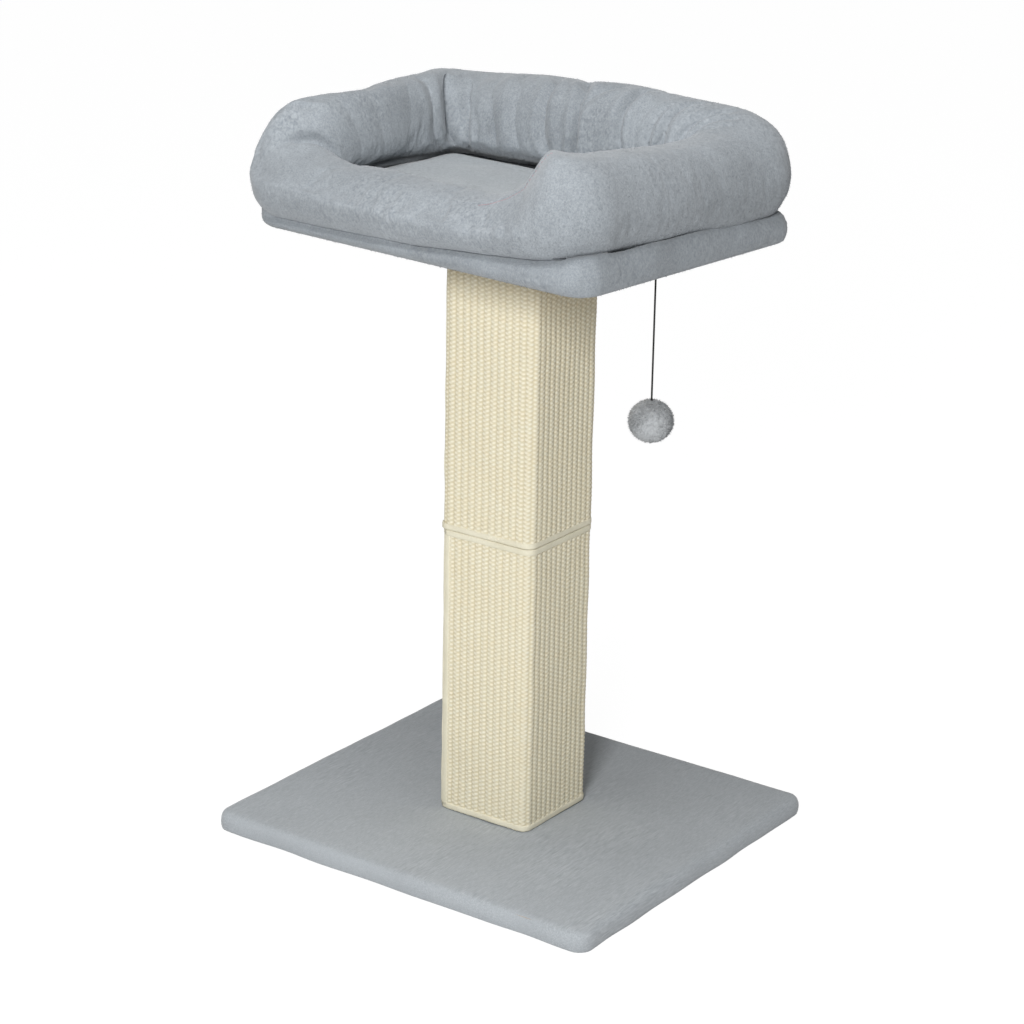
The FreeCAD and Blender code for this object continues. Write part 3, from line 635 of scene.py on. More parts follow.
SISAL = sisal()
TAPE = woven("binding tape", pale=linear(233, 228, 207), deep=linear(208, 201, 175), stretch=(1, 1, 0.3),
             fibres=1500.0, tints=60.0, tint_depth=0.35, strength=0.5, depth=0.0003)
CORD = woven("toy cord", pale=linear(58, 58, 56), deep=linear(26, 26, 26), stretch=(1, 1, 0.35),
             fibres=2200.0, tints=300.0, tint_depth=0.5, strength=0.8, depth=0.0004, roughness=0.75)
STRIP = woven("hook and loop strip", pale=linear(46, 47, 50), deep=linear(18, 18, 20), stretch=(1, 1, 1),
              fibres=1300.0, tints=200.0, tint_depth=0.6, strength=0.9, depth=0.0006)
# The bottom cloth is dark grey, partly its own colour and partly painted shadow, so that where it shows under
# the bed's foot it reads as the contact line's shade
LINING = woven("bottom cloth", pale=linear(98, 102, 106), deep=linear(68, 72, 76), stretch=(1, 0.2, 1),
               fibres=900.0, tints=80.0, tint_depth=0.4, strength=0.5, depth=0.0003)
FIBRE = woven("stuffing", pale=linear(240, 240, 236), deep=linear(214, 214, 208), stretch=(1, 1, 0.5),
              fibres=500.0, tints=60.0, tint_depth=0.5, strength=0.9, depth=0.002)
THREAD = woven("seam thread", pale=linear(186, 164, 168), deep=linear(136, 116, 122), stretch=(1, 1, 1),
               fibres=3000.0, tints=200.0, tint_depth=0.5, strength=0.6, depth=0.0002)
print("thread finishes", [m.name for m in (SISAL, TAPE, CORD, STRIP, LINING, FIBRE, THREAD)])

# %% [markdown]
# ## Boards and hardware
# The boards and the bolts hardly show, but the underside and the post's ends do when the object is
# turned over. Fibreboard is a speckled brown, and the bolts and staples are zinc-plated steel with
# faint drawing lines. These pieces keep their solids and only take a finish.

# %% Finishes of the hidden pieces
POLISH_RANGE_SHARES = (0.25, 0.5)


def fibreboard():
    """Pressed wood fibres: speckles of two browns with a dusty, matt face."""
    return woven("fibreboard", pale=linear(190, 160, 120), deep=linear(142, 112, 76), stretch=(1, 1, 1),
                 fibres=700.0, tints=35.0, tint_depth=0.6, strength=0.3, depth=0.0004, roughness=0.8)


def plated_steel():
    """Zinc-plated steel whose polish changes from place to place."""
    material, tree, shader = cloth_shader("plated steel", roughness=0.35, specular=0.5)
    shader.inputs["Metallic"].default_value = 1.0
    colour, height = placed_group(tree, THREADS, pale=linear(205, 206, 208), deep=linear(160, 162, 166),
                                  stretch=(1, 1, 0.2), fibres=900.0, tints=90.0, tint_depth=0.5)
    tree.links.new(colour, shader.inputs["Base Color"])
    polish = mapped_range(tree, height, *THREAD_RANGE_SHARES, *POLISH_RANGE_SHARES)
    tree.links.new(polish, shader.inputs["Roughness"])
    return material


FINISH = {"board": fibreboard(), "steel": plated_steel(), "strip": STRIP, "lining": LINING, "fibre": FIBRE,
          "cord": CORD, "plush": BED_PLUSH, "sisal": SISAL, "tape": TAPE}
for entry in frame["record"]["subparts"]:
    solid = frame["nodes"][entry["node"]]
    solid.data.materials.clear()
    solid.data.materials.append(FINISH[entry["material_slot"]])
print("finishes on", len(frame["nodes"]), "solids")

# %% [markdown]
# ## Covers of the base and the platform
# Both are boards in a plush cover that is pulled round the edge and stapled underneath. The cover is
# a closed shell: its outer face runs from the hem's cut edge, round the side and over the top, and its
# inner face runs back a cloth's thickness inside. Rings of points make the sides, and a grid that
# blends the four sides of the last ring closes the top.

# %% A cover for a board
COVER_CLOTH = 0.0022
CORNER_LIMIT_SHARE = 0.9


def cap_points(ring, counts):
    """Points inside a ring of four sides, blended from the sides, row by row from the front."""
    wide, deep = counts
    closed = np.vstack([ring, ring[:1]])
    front = closed[:wide + 1]
    right = closed[wide:wide + deep + 1]
    back = closed[wide + deep:2 * wide + deep + 1][::-1]
    left = closed[2 * wide + deep:][::-1]
    across = (np.arange(wide + 1) / wide)[None, :, None]
    along = (np.arange(deep + 1) / deep)[:, None, None]
    ruled = ((1 - along) * front[None] + along * back[None]
             + (1 - across) * left[:, None] + across * right[:, None])
    corners = ((1 - along) * ((1 - across) * front[0] + across * front[-1])
               + along * ((1 - across) * back[0] + across * back[-1]))
    return (ruled - corners)[1:-1, 1:-1].reshape(-1, 3)


def cap_faces(first_ring, first_inside, counts):
    """Quads of a cap between a ring's points and the points inside it."""
    wide, deep = counts
    ring = first_ring + np.append(np.arange(2 * (wide + deep)), 0)
    index = np.zeros((deep + 1, wide + 1), int)
    index[0] = ring[:wide + 1]
    index[:, -1] = ring[wide:wide + deep + 1]
    index[-1, ::-1] = ring[wide + deep:2 * wide + deep + 1]
    index[::-1, 0] = ring[2 * wide + deep:]
    index[1:-1, 1:-1] = first_inside + np.arange((deep - 1) * (wide - 1)).reshape(deep - 1, wide - 1)
    return quads(index)


def rings_of(plan, steps, counts):
    """Rings of points round a plan: each step is how far inside the plan and how high."""
    loop, normals = rounded_loop(*plan, counts)
    rings = []
    for inside, height in steps:
        flat = loop - normals * inside
        limit = plan[2] * CORNER_LIMIT_SHARE
        if inside > limit:
            width, depth, corner = plan
            flat, _ = rounded_loop(width - 2 * inside, depth - 2 * inside, corner - limit, counts)
        rings.append(np.column_stack([flat, np.full(len(flat), height)]))
    return np.array(rings)


def closed_form(rings, counts, cap_first, cap_last):
    """A skin through rings, capped at its ends where asked, as points and faces."""
    count = rings.shape[1]
    points = [rings.reshape(-1, 3)]
    faces = grid_faces(len(rings), count, loop_columns=True)
    total = len(rings) * count
    for wanted, ring in ((cap_first, 0), (cap_last, len(rings) - 1)):
        if wanted:
            inside = cap_points(rings[ring], counts)
            faces += cap_faces(ring * count, total, counts)
            points.append(inside)
            total += len(inside)
    return np.concatenate(points), faces


def lining_steps(hem, edge, tall, shares):
    """Steps of a cover's inner face: along the hem, up the side, round the edge and in under the top."""
    steps = [(hem, COVER_CLOTH), (edge * shares["fold"], COVER_CLOTH),
             (COVER_CLOTH, COVER_CLOTH * shares["foot"]), (COVER_CLOTH, tall * shares["side"]),
             (edge * shares["edge in"], tall * shares["edge up"])]
    return steps + [(edge * share, tall - COVER_CLOTH) for share in shares["top"]]


def cover_form(plan, low, outer_steps, inner_steps, counts):
    """A cover's closed shell: outer skin with its top, inner skin with its top, joined at the hem."""
    outer = rings_of(plan, outer_steps, counts)
    inner = rings_of(plan, inner_steps, counts)
    rings = np.concatenate([inner[::-1], outer])
    points, faces = closed_form(rings, counts, True, True)
    points[:, 2] += low
    return points, faces, slice(inner.shape[0] * inner.shape[1], rings.shape[0] * rings.shape[1])


# %% [markdown]
# ## Base
# The base is a thin board, so its cover is nearly flat, with a soft edge that wanders a little where
# the cloth was pulled. The hem underneath lies on the floor.

# %% Base cover
BASE_LOW, BASE_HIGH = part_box("base_cover")
PILE_STANDS = 0.002
BASE_CORNER = 0.015
BASE_PLAN = (BASE_HIGH.x - BASE_LOW.x + 2 * PILE_STANDS, BASE_HIGH.y - BASE_LOW.y + 2 * PILE_STANDS,
             BASE_CORNER)
BASE_TALL = BASE_HIGH.z - BASE_LOW.z
BASE_COUNTS = (112, 100)
BASE_HEM = 0.030
BASE_HEM_SHARES = [1.0, 0.66, 0.33, 0.12]
# The outer face as shares of the corner and the height, from the hem's fold up and over the edge
BASE_SIDE_SHARES = [(0.06, 0.05), (0.0, 0.2), (-0.02, 0.42), (0.02, 0.64), (0.10, 0.80), (0.24, 0.92),
                    (0.48, 0.985), (0.88, 1.0)]
BASE_LINING_SHARES = {"fold": 0.3, "foot": 1.4, "side": 0.6, "edge in": 0.22, "edge up": 0.84,
                      "top": (0.6, 0.9)}
BASE_RIM_SHARES = (0.93, 1.0)
BASE_TOP_SHARES = (0.6, 1.0)
EDGE_WANDER = 0.0005
EDGE_WAVE = 0.035
TOP_WANDER = 0.00025
TOP_WAVE = 0.05


def base_cover():
    """The base's plush cover, hemmed underneath."""
    outer = [(BASE_HEM * share, 0) for share in BASE_HEM_SHARES]
    outer += [(BASE_CORNER * inside, BASE_TALL * up) for inside, up in BASE_SIDE_SHARES]
    inner = lining_steps(BASE_HEM, BASE_CORNER, BASE_TALL, BASE_LINING_SHARES)
    points, faces, _ = cover_form(BASE_PLAN, BASE_LOW.z, outer, inner, BASE_COUNTS)
    half = np.array(BASE_PLAN[:2]) / 2
    rim = np.max(np.abs(points[:, :2]) / half, axis=1)
    outward = ease(*BASE_RIM_SHARES, rim) * EDGE_WANDER * ripple(points, EDGE_WAVE, SEEDS["base edge"])
    points[:, :2] -= outward[:, None] * points[:, :2] / half
    lifted = ease(*BASE_TOP_SHARES, points[:, 2] / BASE_TALL)
    points[:, 2] += lifted * TOP_WANDER * (ripple(points, TOP_WAVE, SEEDS["base top"]) - 1)
    return make_piece("base_plush", points, faces, BASE_PLUSH, "stand", "plush")


base_plush = base_cover()
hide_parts("base_cover")

# %% [markdown]
# ## Sisal
# The wrap is a thick woven cloth: strands come up as seeds in columns, each column half a seed out of
# step with its neighbours and leaning the other way, so that two columns make one plaited rib. A
# A picture of that would go flat at the post's edge, so the seeds are real relief: a fine grid round
# the post, pushed out by a formula for one seed. The height is kept on the mesh for the finish's painted
# shade, which is darker where the weave is low and in the grooves between ribs.

# %% Sisal wraps
POST_HALF = (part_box("lower_sisal_wrap")[1].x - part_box("lower_sisal_wrap")[0].x) / 2
POST_CORNER = 0.009
CORE_HALF = 0.050
SEAM_GAP = 0.0058
SEED_WIDE = 0.00417
SEED_TALL = 0.00439
SEED_HIGH = 0.0008
SEED_SAMPLES = (4, 6)
SEED_LEAN_SHARE = 0.14
SEED_REACH_SHARE = 0.62
SEED_SHIFT_SHARE = 0.22
SEED_LEAST_SHARE = 0.74
OWN_TINTS = 256
RIB_HIGH = 0.0014
RIB_POWER = 0.55
WEAVE_SINK = 0.0010
# How far the crown attribute sinks in the grooves between ribs, for the finish's painted shade there
PAINTED_GROOVE_SHADE_SHARE = 0.4
SEAM_SHIFT = {"lower": 0.0, "upper": -0.010}
WRAP_UNEVEN = 0.0002
WRAP_WAVE = 0.03


def post_path(distance, half=POST_HALF, corner=POST_CORNER):
    """Points and normals round the post at distances walked from the seam's corner."""
    side = 2 * (half - corner)
    length = side + corner * math.pi / 2
    index = np.floor(distance / length)
    walked = distance - index * length
    along, out, angle = side_walk(walked, side, 2 * half, corner)
    heading = index * math.pi / 2
    cosine, sine = np.cos(heading), np.sin(heading)
    place = np.stack([along * cosine + out * sine, along * sine - out * cosine], axis=-1)
    normal = np.stack([np.sin(angle) * cosine + np.cos(angle) * sine,
                       np.sin(angle) * sine - np.cos(angle) * cosine], axis=-1)
    return place, normal, SIDES * length


def seeds(across, up, seed):
    """Height of the weave, from 0 to 1, the strand's own tint, and the height of the rib under it."""
    own = np.random.default_rng(seed).uniform(0, 1, (OWN_TINTS, OWN_TINTS))
    crown = np.zeros_like(across)
    strand = np.zeros_like(across)
    for neighbour in (-1, 0, 1):
        column = np.floor(across / SEED_WIDE) + neighbour
        aside = across / SEED_WIDE - column - 0.5
        lean = np.where(column % 2 == 0, SEED_LEAN_SHARE, -SEED_LEAN_SHARE)
        own_column = column.astype(int) % OWN_TINTS
        shift = SEED_SHIFT_SHARE * own[own_column, 0]
        step = up / SEED_TALL + 0.5 * (column % 2) + lean * aside + shift
        tint = own[own_column, np.floor(step).astype(int) % OWN_TINTS]
        height = SEED_LEAST_SHARE + (1 - SEED_LEAST_SHARE) * tint
        swell = bump(aside, SEED_REACH_SHARE) * (0.5 - 0.5 * np.cos(2 * math.pi * step)) * height
        strand = np.where(swell > crown, tint, strand)
        crown = np.maximum(crown, swell)
    rib = np.abs(np.sin(math.pi / 2 * across / SEED_WIDE)) ** RIB_POWER
    return crown, strand, rib


def sisal_wrap(prefix, seed):
    """One section's woven wrap, from tape to tape, with its rim turned in to the post's core."""
    low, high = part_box(f"{prefix}_sisal_wrap")
    _, _, whole = post_path(np.zeros(1))
    columns = int((whole - 2 * SEAM_GAP) / SEED_WIDE) * SEED_SAMPLES[0] + 1
    rows = int((high.z - low.z) / SEED_TALL * SEED_SAMPLES[1]) + 1
    across = np.linspace(SEAM_GAP, whole - SEAM_GAP, columns) + SEAM_SHIFT[prefix]
    up = np.linspace(0, high.z - low.z, rows)
    place, normal, _ = post_path(across)
    grid_across, grid_up = np.meshgrid(across - across[0], up)
    crown, strand, rib = seeds(grid_across, grid_up, seed)
    lift = SEED_HIGH * crown + RIB_HIGH * rib - WEAVE_SINK
    points = np.zeros((rows, columns, 3))
    points[..., :2] = place + normal * lift[..., None]
    points[..., 2] = low.z + grid_up
    points[..., :2] += normal * (WRAP_UNEVEN * ripple(points, WRAP_WAVE, seed + 1))[..., None]
    rim = np.concatenate([points[0], points[1:, -1], points[-1, -2::-1], points[-2:0:-1, 0]])
    index = np.arange(rows * columns).reshape(rows, columns)
    rim_index = np.concatenate([index[0], index[1:, -1], index[-1, -2::-1], index[-2:0:-1, 0]])
    inner = rim.copy()
    inner[:, :2] = np.clip(rim[:, :2], -CORE_HALF, CORE_HALF)
    faces = quads(index)
    first = rows * columns
    turned_in = np.stack([np.append(rim_index, rim_index[0]), first + np.append(np.arange(len(rim)), 0)])
    faces += quads(turned_in)
    form = np.concatenate([points.reshape(-1, 3), inner])
    wrap = make_piece(f"{prefix}_sisal", form, faces, SISAL, "stand", "sisal")
    at_rim = np.zeros(len(inner))
    # The crown attribute is the weave's height, sunk further in the grooves: the finish paints shade where it
    # is low
    for title, values in (("crown", crown - PAINTED_GROOVE_SHADE_SHARE * (1 - rib) ** 2), ("strand", strand)):
        attribute = wrap.data.attributes.new(title, "FLOAT", "POINT")
        attribute.data.foreach_set("value", np.concatenate([values.ravel(), at_rim]).astype(np.float32))
    return wrap


# %% [markdown]
# ## Binding tape
# Cotton tape binds the wrap's cut edges: along the top and bottom of each section and up both sides of
# the seam. Each is a flat strip with a soft round section, swept along the edge that it covers. The
# upper section's lower tape stands away a little at the seam, where its ends were folded.

# %% Binding tapes
TAPE_WIDE = 0.0062
TAPE_THICK = 0.0032
TAPE_STANDS = 0.0013
TAPE_STEP = 0.003
TAPE_UNEVEN = 0.0002
TAPE_WAVE = 0.02
TAPE_END_SHARE = 0.6
TAPE_FLARE = 0.0026
TAPE_OVERLAP = 0.0006
TAPE_FLARE_REACH = 0.018
TAPE_SECTION_SHARES = [(-0.5, 0.0), (-0.5, 0.7), (-0.42, 0.94), (-0.2, 1.0), (0.0, 0.97), (0.2, 1.0),
                       (0.42, 0.94), (0.5, 0.7), (0.5, 0.0)]


def swept_tape(path, outward, across):
    """A strip with a soft section along a path, as rows of points and faces, closed at its ends."""
    rows = [path + across * (TAPE_WIDE * wide) + outward * (TAPE_THICK * (thick - 1) + TAPE_STANDS)
            for wide, thick in TAPE_SECTION_SHARES]
    points = np.stack(rows, axis=1)
    faces = grid_faces(len(path), len(rows), loop_columns=True)
    last = (len(path) - 1) * len(rows)
    faces.append(list(range(len(rows))))
    faces.append([last + k for k in range(len(rows))])
    return points.reshape(-1, 3), faces


def wrap_binding(prefix, seed):
    """The four tapes round one section's wrap."""
    low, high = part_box(f"{prefix}_sisal_wrap")
    upper = prefix == "upper"
    _, _, whole = post_path(np.zeros(1))
    around = np.linspace(SEAM_GAP - TAPE_WIDE / 2, whole - SEAM_GAP + TAPE_WIDE / 2, int(whole / TAPE_STEP))
    place, normal, _ = post_path(around + SEAM_SHIFT[prefix])
    outward = np.column_stack([normal, np.zeros(len(normal))])
    tapes = []
    for level, flare in ((low.z + TAPE_WIDE / 2 - TAPE_OVERLAP * upper, upper),
                         (high.z - TAPE_WIDE / 2 + TAPE_OVERLAP * (not upper), False)):
        path = np.column_stack([place, np.full(len(place), level)])
        stand = TAPE_UNEVEN * ripple(path, TAPE_WAVE, seed)
        if flare:
            stand = stand + TAPE_FLARE * bump(np.minimum(around, whole - around), TAPE_FLARE_REACH)
        tapes.append(swept_tape(path + outward * stand[:, None], outward, UPWARD))
    end = TAPE_WIDE * TAPE_END_SHARE
    up = np.linspace(low.z + end, high.z - end, int((high.z - low.z) / TAPE_STEP))
    for middle in (SEAM_GAP, whole - SEAM_GAP):
        spot, facing, _ = post_path(np.array([middle + SEAM_SHIFT[prefix]]))
        path = np.column_stack([np.repeat(spot, len(up), axis=0), up])
        outward = np.tile(np.append(facing[0], 0), (len(up), 1))
        path = path + outward * (TAPE_UNEVEN * ripple(path, TAPE_WAVE, seed + 1))[:, None]
        tapes.append(swept_tape(path, outward, np.array([-facing[0, 1], facing[0, 0], 0])))
    return make_piece(f"{prefix}_binding", *joined(tapes), TAPE, "stand", "tape")


for number, prefix in enumerate(("lower", "upper")):
    wrap = sisal_wrap(prefix, SEEDS["sisal"] + number)
    tape = wrap_binding(prefix, SEEDS["tape"] + number)
    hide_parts(f"{prefix}_sisal_wrap")
    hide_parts(f"{prefix}_wrap_binding")

# %% [markdown]
# ## Platform
# The platform is thicker than the base, because padding lies on its board. The plush rolls softly over
# the edge and bulges a little between board and padding, and its wide hem shows from below. The bed
# presses on it, so the front side swells out below the bed's foot and the right edge puffs up beside it.

# %% Platform cover
PLATFORM_PLAN = (0.412, 0.320, 0.026)
PLATFORM_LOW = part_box("platform_cover")[0].z
PLATFORM_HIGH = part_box("platform_cover")[1].z
PLATFORM_TALL = PLATFORM_HIGH - PLATFORM_LOW
PLATFORM_HEM = 0.060
PLATFORM_ROLL = 0.010
PLATFORM_COUNTS = (120, 94)
PLATFORM_BULGE = 0.0012
PLATFORM_TUFTS = 8000
PLATFORM_WANDER = 0.0009
PLATFORM_WAVE = 0.035
FRONT_BULGE = 0.0055
# The outer face as shares of the roll and the height: round the lower edge, up the side, over the top edge
PLATFORM_HEM_SHARES = [1.0, 0.8, 0.6, 0.4, 0.25]
LOW_EDGE_SHARES = [(0.6, 0.0), (0.3, 0.02), (0.1, 0.08), (0.0, 0.2)]
BULGE_START_SHARES = (0.7, 0.32)
SIDE_RING_SHARES = [0.38, 0.43, 0.48, 0.53, 0.58, 0.63]
HIGH_EDGE_SHARES = [(0.0, 0.7), (0.08, 0.77), (0.2, 0.84), (0.5, 0.94), (0.95, 0.99), (1.5, 1.0)]
PLATFORM_LINING_SHARES = {"fold": 1.0, "foot": 1.8, "side": 0.68, "edge in": 0.5, "edge up": 0.84,
                          "top": (1.0, 1.5)}
PLATFORM_RIM_SHARES = (0.95, 1.0)
LOW_SIDE_SHARES = (0.0, 0.25)
PUFF_LEVEL_SHARES = (0.5, 1.0)
FOOT_ROLL = 0.003
FRONT_SPAN = (-0.203, -0.165)
# How far the bed's foot reaches below the platform's top, along its front edge
FOOT_LINE_KEYS = [(-0.2, 0.0180), (-0.063, 0.0170), (0.018, 0.0125), (0.12, 0.0062), (0.175, 0.0015)]
# How far the padding puffs up beside the bed, along the right edge from front to back
PUFF_KEYS = [(-0.16, 0.0075), (-0.12, 0.0095), (-0.05, 0.0090), (0.02, 0.0075), (0.07, 0.0055), (0.11, 0.0020),
             (0.15, 0.0)]
PUFF_SPAN = (0.194, 0.203)
PUFF_FRONT_SPAN = (0.10, 0.155)
PUFF_FRONT_REACH = 0.05
PLATFORM_PILE = 0.00008
PLATFORM_CLUMP = 0.0045


def pressed(points):
    """The platform's skin, a little uneven, swollen below the bed's foot and puffed up beside it."""
    half = np.array(PLATFORM_PLAN[:2]) / 2
    rim = np.max(np.abs(points[:, :2]) / half, axis=1)
    level = (points[:, 2] - PLATFORM_LOW) / PLATFORM_TALL
    side = ease(*PLATFORM_RIM_SHARES, rim) * ease(*LOW_SIDE_SHARES, level)
    push = side * (PLATFORM_WANDER * ripple(points, PLATFORM_WAVE, SEEDS["platform side"])
                   + PLATFORM_PILE * ripple(points, PLATFORM_CLUMP, SEEDS["platform pile"]))
    points[:, :2] += push[:, None] * points[:, :2] / half
    below = PLATFORM_HIGH - points[:, 2] - np.interp(points[:, 0], *zip(*FOOT_LINE_KEYS))
    front = ease(*PLATFORM_RIM_SHARES, -points[:, 1] / half[1]) * ease(*LOW_SIDE_SHARES, level)
    points[:, 1] -= FRONT_BULGE * front * ease(0, FOOT_ROLL, below) * ease(*FRONT_SPAN, points[:, 0])
    start = PUFF_SPAN[0] - PUFF_FRONT_REACH * ease(*PUFF_FRONT_SPAN, -points[:, 1])
    puffed = ease(start, PUFF_SPAN[1], points[:, 0]) * ease(*PUFF_LEVEL_SHARES, level)
    points[:, 2] += puffed * np.interp(points[:, 1], *zip(*PUFF_KEYS))
    return points


def platform_cover():
    """The platform's plush cover over its padding, hemmed underneath, with its coat of tufts."""
    outer = [(PLATFORM_HEM * share, 0) for share in PLATFORM_HEM_SHARES]
    outer += [(PLATFORM_ROLL * inside, PLATFORM_TALL * up) for inside, up in LOW_EDGE_SHARES]
    outer += [(-PLATFORM_BULGE * BULGE_START_SHARES[0], PLATFORM_TALL * BULGE_START_SHARES[1])]
    outer += [(-PLATFORM_BULGE, PLATFORM_TALL * share) for share in SIDE_RING_SHARES]
    outer += [(PLATFORM_ROLL * inside, PLATFORM_TALL * up) for inside, up in HIGH_EDGE_SHARES]
    inner = lining_steps(PLATFORM_HEM, PLATFORM_ROLL, PLATFORM_TALL, PLATFORM_LINING_SHARES)
    points, faces, outside = cover_form(PLATFORM_PLAN, PLATFORM_LOW, outer, inner, PLATFORM_COUNTS)
    points = pressed(points)
    skin = points[outside].reshape(len(outer), -1, 3).transpose(1, 0, 2)
    seen = np.zeros(skin.shape[:2], bool)
    seen[:, len(PLATFORM_HEM_SHARES):-1] = True
    tufts = brushed_coat(skin, -surface_normals(skin), seen, PLATFORM_TUFTS, "platform")
    points, faces = joined([(points, faces), tufts])
    return make_piece("platform_plush", turned(points), faces, PLATFORM_PLUSH, "stand", "plush")


platform_plush = platform_cover()
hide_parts("platform_cover")

# %% [markdown]
# ## The bed's wall
# The wall is one long stuffed tube. It stands high at the sides and back and dips to a lip at the
# entry, where a stitched edge sweeps up to a small peak. The stuffing makes it belly out over the
# cushion, its foot slumps over the platform's front edge, and cloth gathers in the back corner.
# A tube swept between two loops gives that control: the outer loop is the bed's outline, the inner
# loop its opening, and at each place round the bed a few listed heights shape the section.

# %% Loops and heights round the bed
WALL_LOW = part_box("bolster_cover")[0].z
BED_MIDDLE = np.array([-0.003, -0.002])
BED_PLAN = (0.424, 0.336, 0.050)
INNER_PLAN = (0.288, 0.172, 0.016)
INNER_SHIFT = np.array([-0.009, -0.010])
LOOP_SMOOTHING_SHARE = 0.012
CREST_SMOOTHING_SHARE = 0.006

# Places run from 0 at the front left corner along the front, right, back and left sides, one unit a side
CREST_KEYS = [(0.0, 0.0485), (0.03, 0.0425), (0.06, 0.0395), (0.09, 0.038), (0.13, 0.037), (0.2, 0.036),
              (0.40, 0.0345), (0.62, 0.0345), (0.75, 0.037), (0.82, 0.0445), (0.865, 0.0545), (0.90, 0.0695),
              (0.925, 0.083), (0.94, 0.0885), (0.953, 0.0885), (0.98, 0.0865), (1.0, 0.086), (1.15, 0.084),
              (1.35, 0.0785), (1.5, 0.0755), (1.6, 0.0745), (1.72, 0.0745), (1.85, 0.0755), (1.93, 0.0785),
              (2.0, 0.0845), (2.08, 0.0885), (2.15, 0.0895), (2.35, 0.0925), (2.55, 0.0915), (2.75, 0.0855),
              (2.815, 0.084), (2.9, 0.080), (2.945, 0.0787), (2.99, 0.0795), (3.03, 0.082), (3.085, 0.0842),
              (3.12, 0.0855), (3.16, 0.0857), (3.235, 0.0843), (3.35, 0.0850), (3.6, 0.0845), (3.75, 0.0838),
              (3.85, 0.0820), (3.90, 0.0800), (3.94, 0.0715), (3.97, 0.0590)]
DROP_KEYS = [(0.0, 0.020), (0.35, 0.019), (0.55, 0.0145), (0.72, 0.0110), (0.8, 0.0085), (0.93, 0.0040),
             (1.0, 0.0010), (1.3, 0.0010), (1.5, 0.0020), (1.7, 0.0042), (1.85, 0.0045), (2.0, 0.0055),
             (2.3, 0.006), (2.7, 0.006), (3.0, 0.009), (3.5, 0.012), (3.85, 0.020)]
TUCK_KEYS = [(0.0, 0.0035), (0.65, 0.004), (0.88, 0.011), (0.96, 0.015), (1.0, 0.017), (1.1, 0.015),
             (1.3, 0.012), (1.5, 0.010), (1.7, 0.007), (1.9, 0.005), (3.2, 0.003)]
BULGE_KEYS = [(0.0, 0.010), (0.4, 0.006), (0.8, 0.004), (1.0, 0.003), (1.5, 0.003), (2.0, 0.003), (2.5, 0.003),
              (3.0, 0.004), (3.6, 0.007)]


def keyed(place, keys, smoothing_share=LOOP_SMOOTHING_SHARE):
    """A value round the bed, straight between its keys and then smoothed a little."""
    spots, values = zip(*keys)
    line = np.interp(place, spots, values, period=SIDES)
    reach = max(1, int(smoothing_share * len(place)))
    weights = bump(np.arange(-2 * reach, 2 * reach + 1), reach)
    ringed = np.concatenate([line[-2 * reach:], line, line[:2 * reach]])
    return np.convolve(ringed, weights / weights.sum(), mode="valid")


def beyond_platform(points):
    """How far points lie outside the platform's plan."""
    half = np.array(PLATFORM_PLAN[:2]) / 2 - PLATFORM_PLAN[2]
    past = np.abs(points) - half
    outside = np.linalg.norm(np.maximum(past, 0), axis=1)
    return outside + np.minimum(past.max(axis=1), 0) - PLATFORM_PLAN[2]


# %% [markdown]
# The section is a closed smooth curve through fourteen points: up the inner belly, over the crest, down
# the outer belly, round the foot and back underneath. Where the foot hangs over the platform, two of
# the points follow the platform's edge instead of its top.

# %% Section of the wall
FOOT_UNDERCUT = 0.022
FOOT_LIFT = 0.0075
LOW_IN = 0.001
LOW_LIFT = 0.019
BELLY_IN = 0.003
LEAN_OUT = 0.006
SHOULDER_IN = 0.008
LIP_SPAN = (0.040, 0.070)
REST_DROP = 0.0042
HANG_EASE = 0.004
UNDER_LIFT = 0.0004
UNDER_DROPS = (0.0038, 0.0036)
UNDER_INSIDE = (0.014, 0.026)
EDGE_CLEARANCE = 0.0014
EDGE_INSIDE = 0.007
UP_SHARES = {"low": 0.25, "belly": 0.39, "shoulder": 0.77, "crest side": 0.965, "outer low": 0.12}
LIP_SHARES = {"inner crest": 0.03, "crest": 0.02, "outer crest": 0.10, "shoulder": 0.20, "belly": 0.09}
ACROSS_SHARES = {"inner crest": 0.27, "crest": 0.5, "outer crest": 0.74, "under": 0.45}
BULGE_SHARES = {"shoulder": 0.5, "low": 0.8}
DROP_SHARES = {"low": 0.55, "under": 0.6}
TUCK_SHARE = 0.5


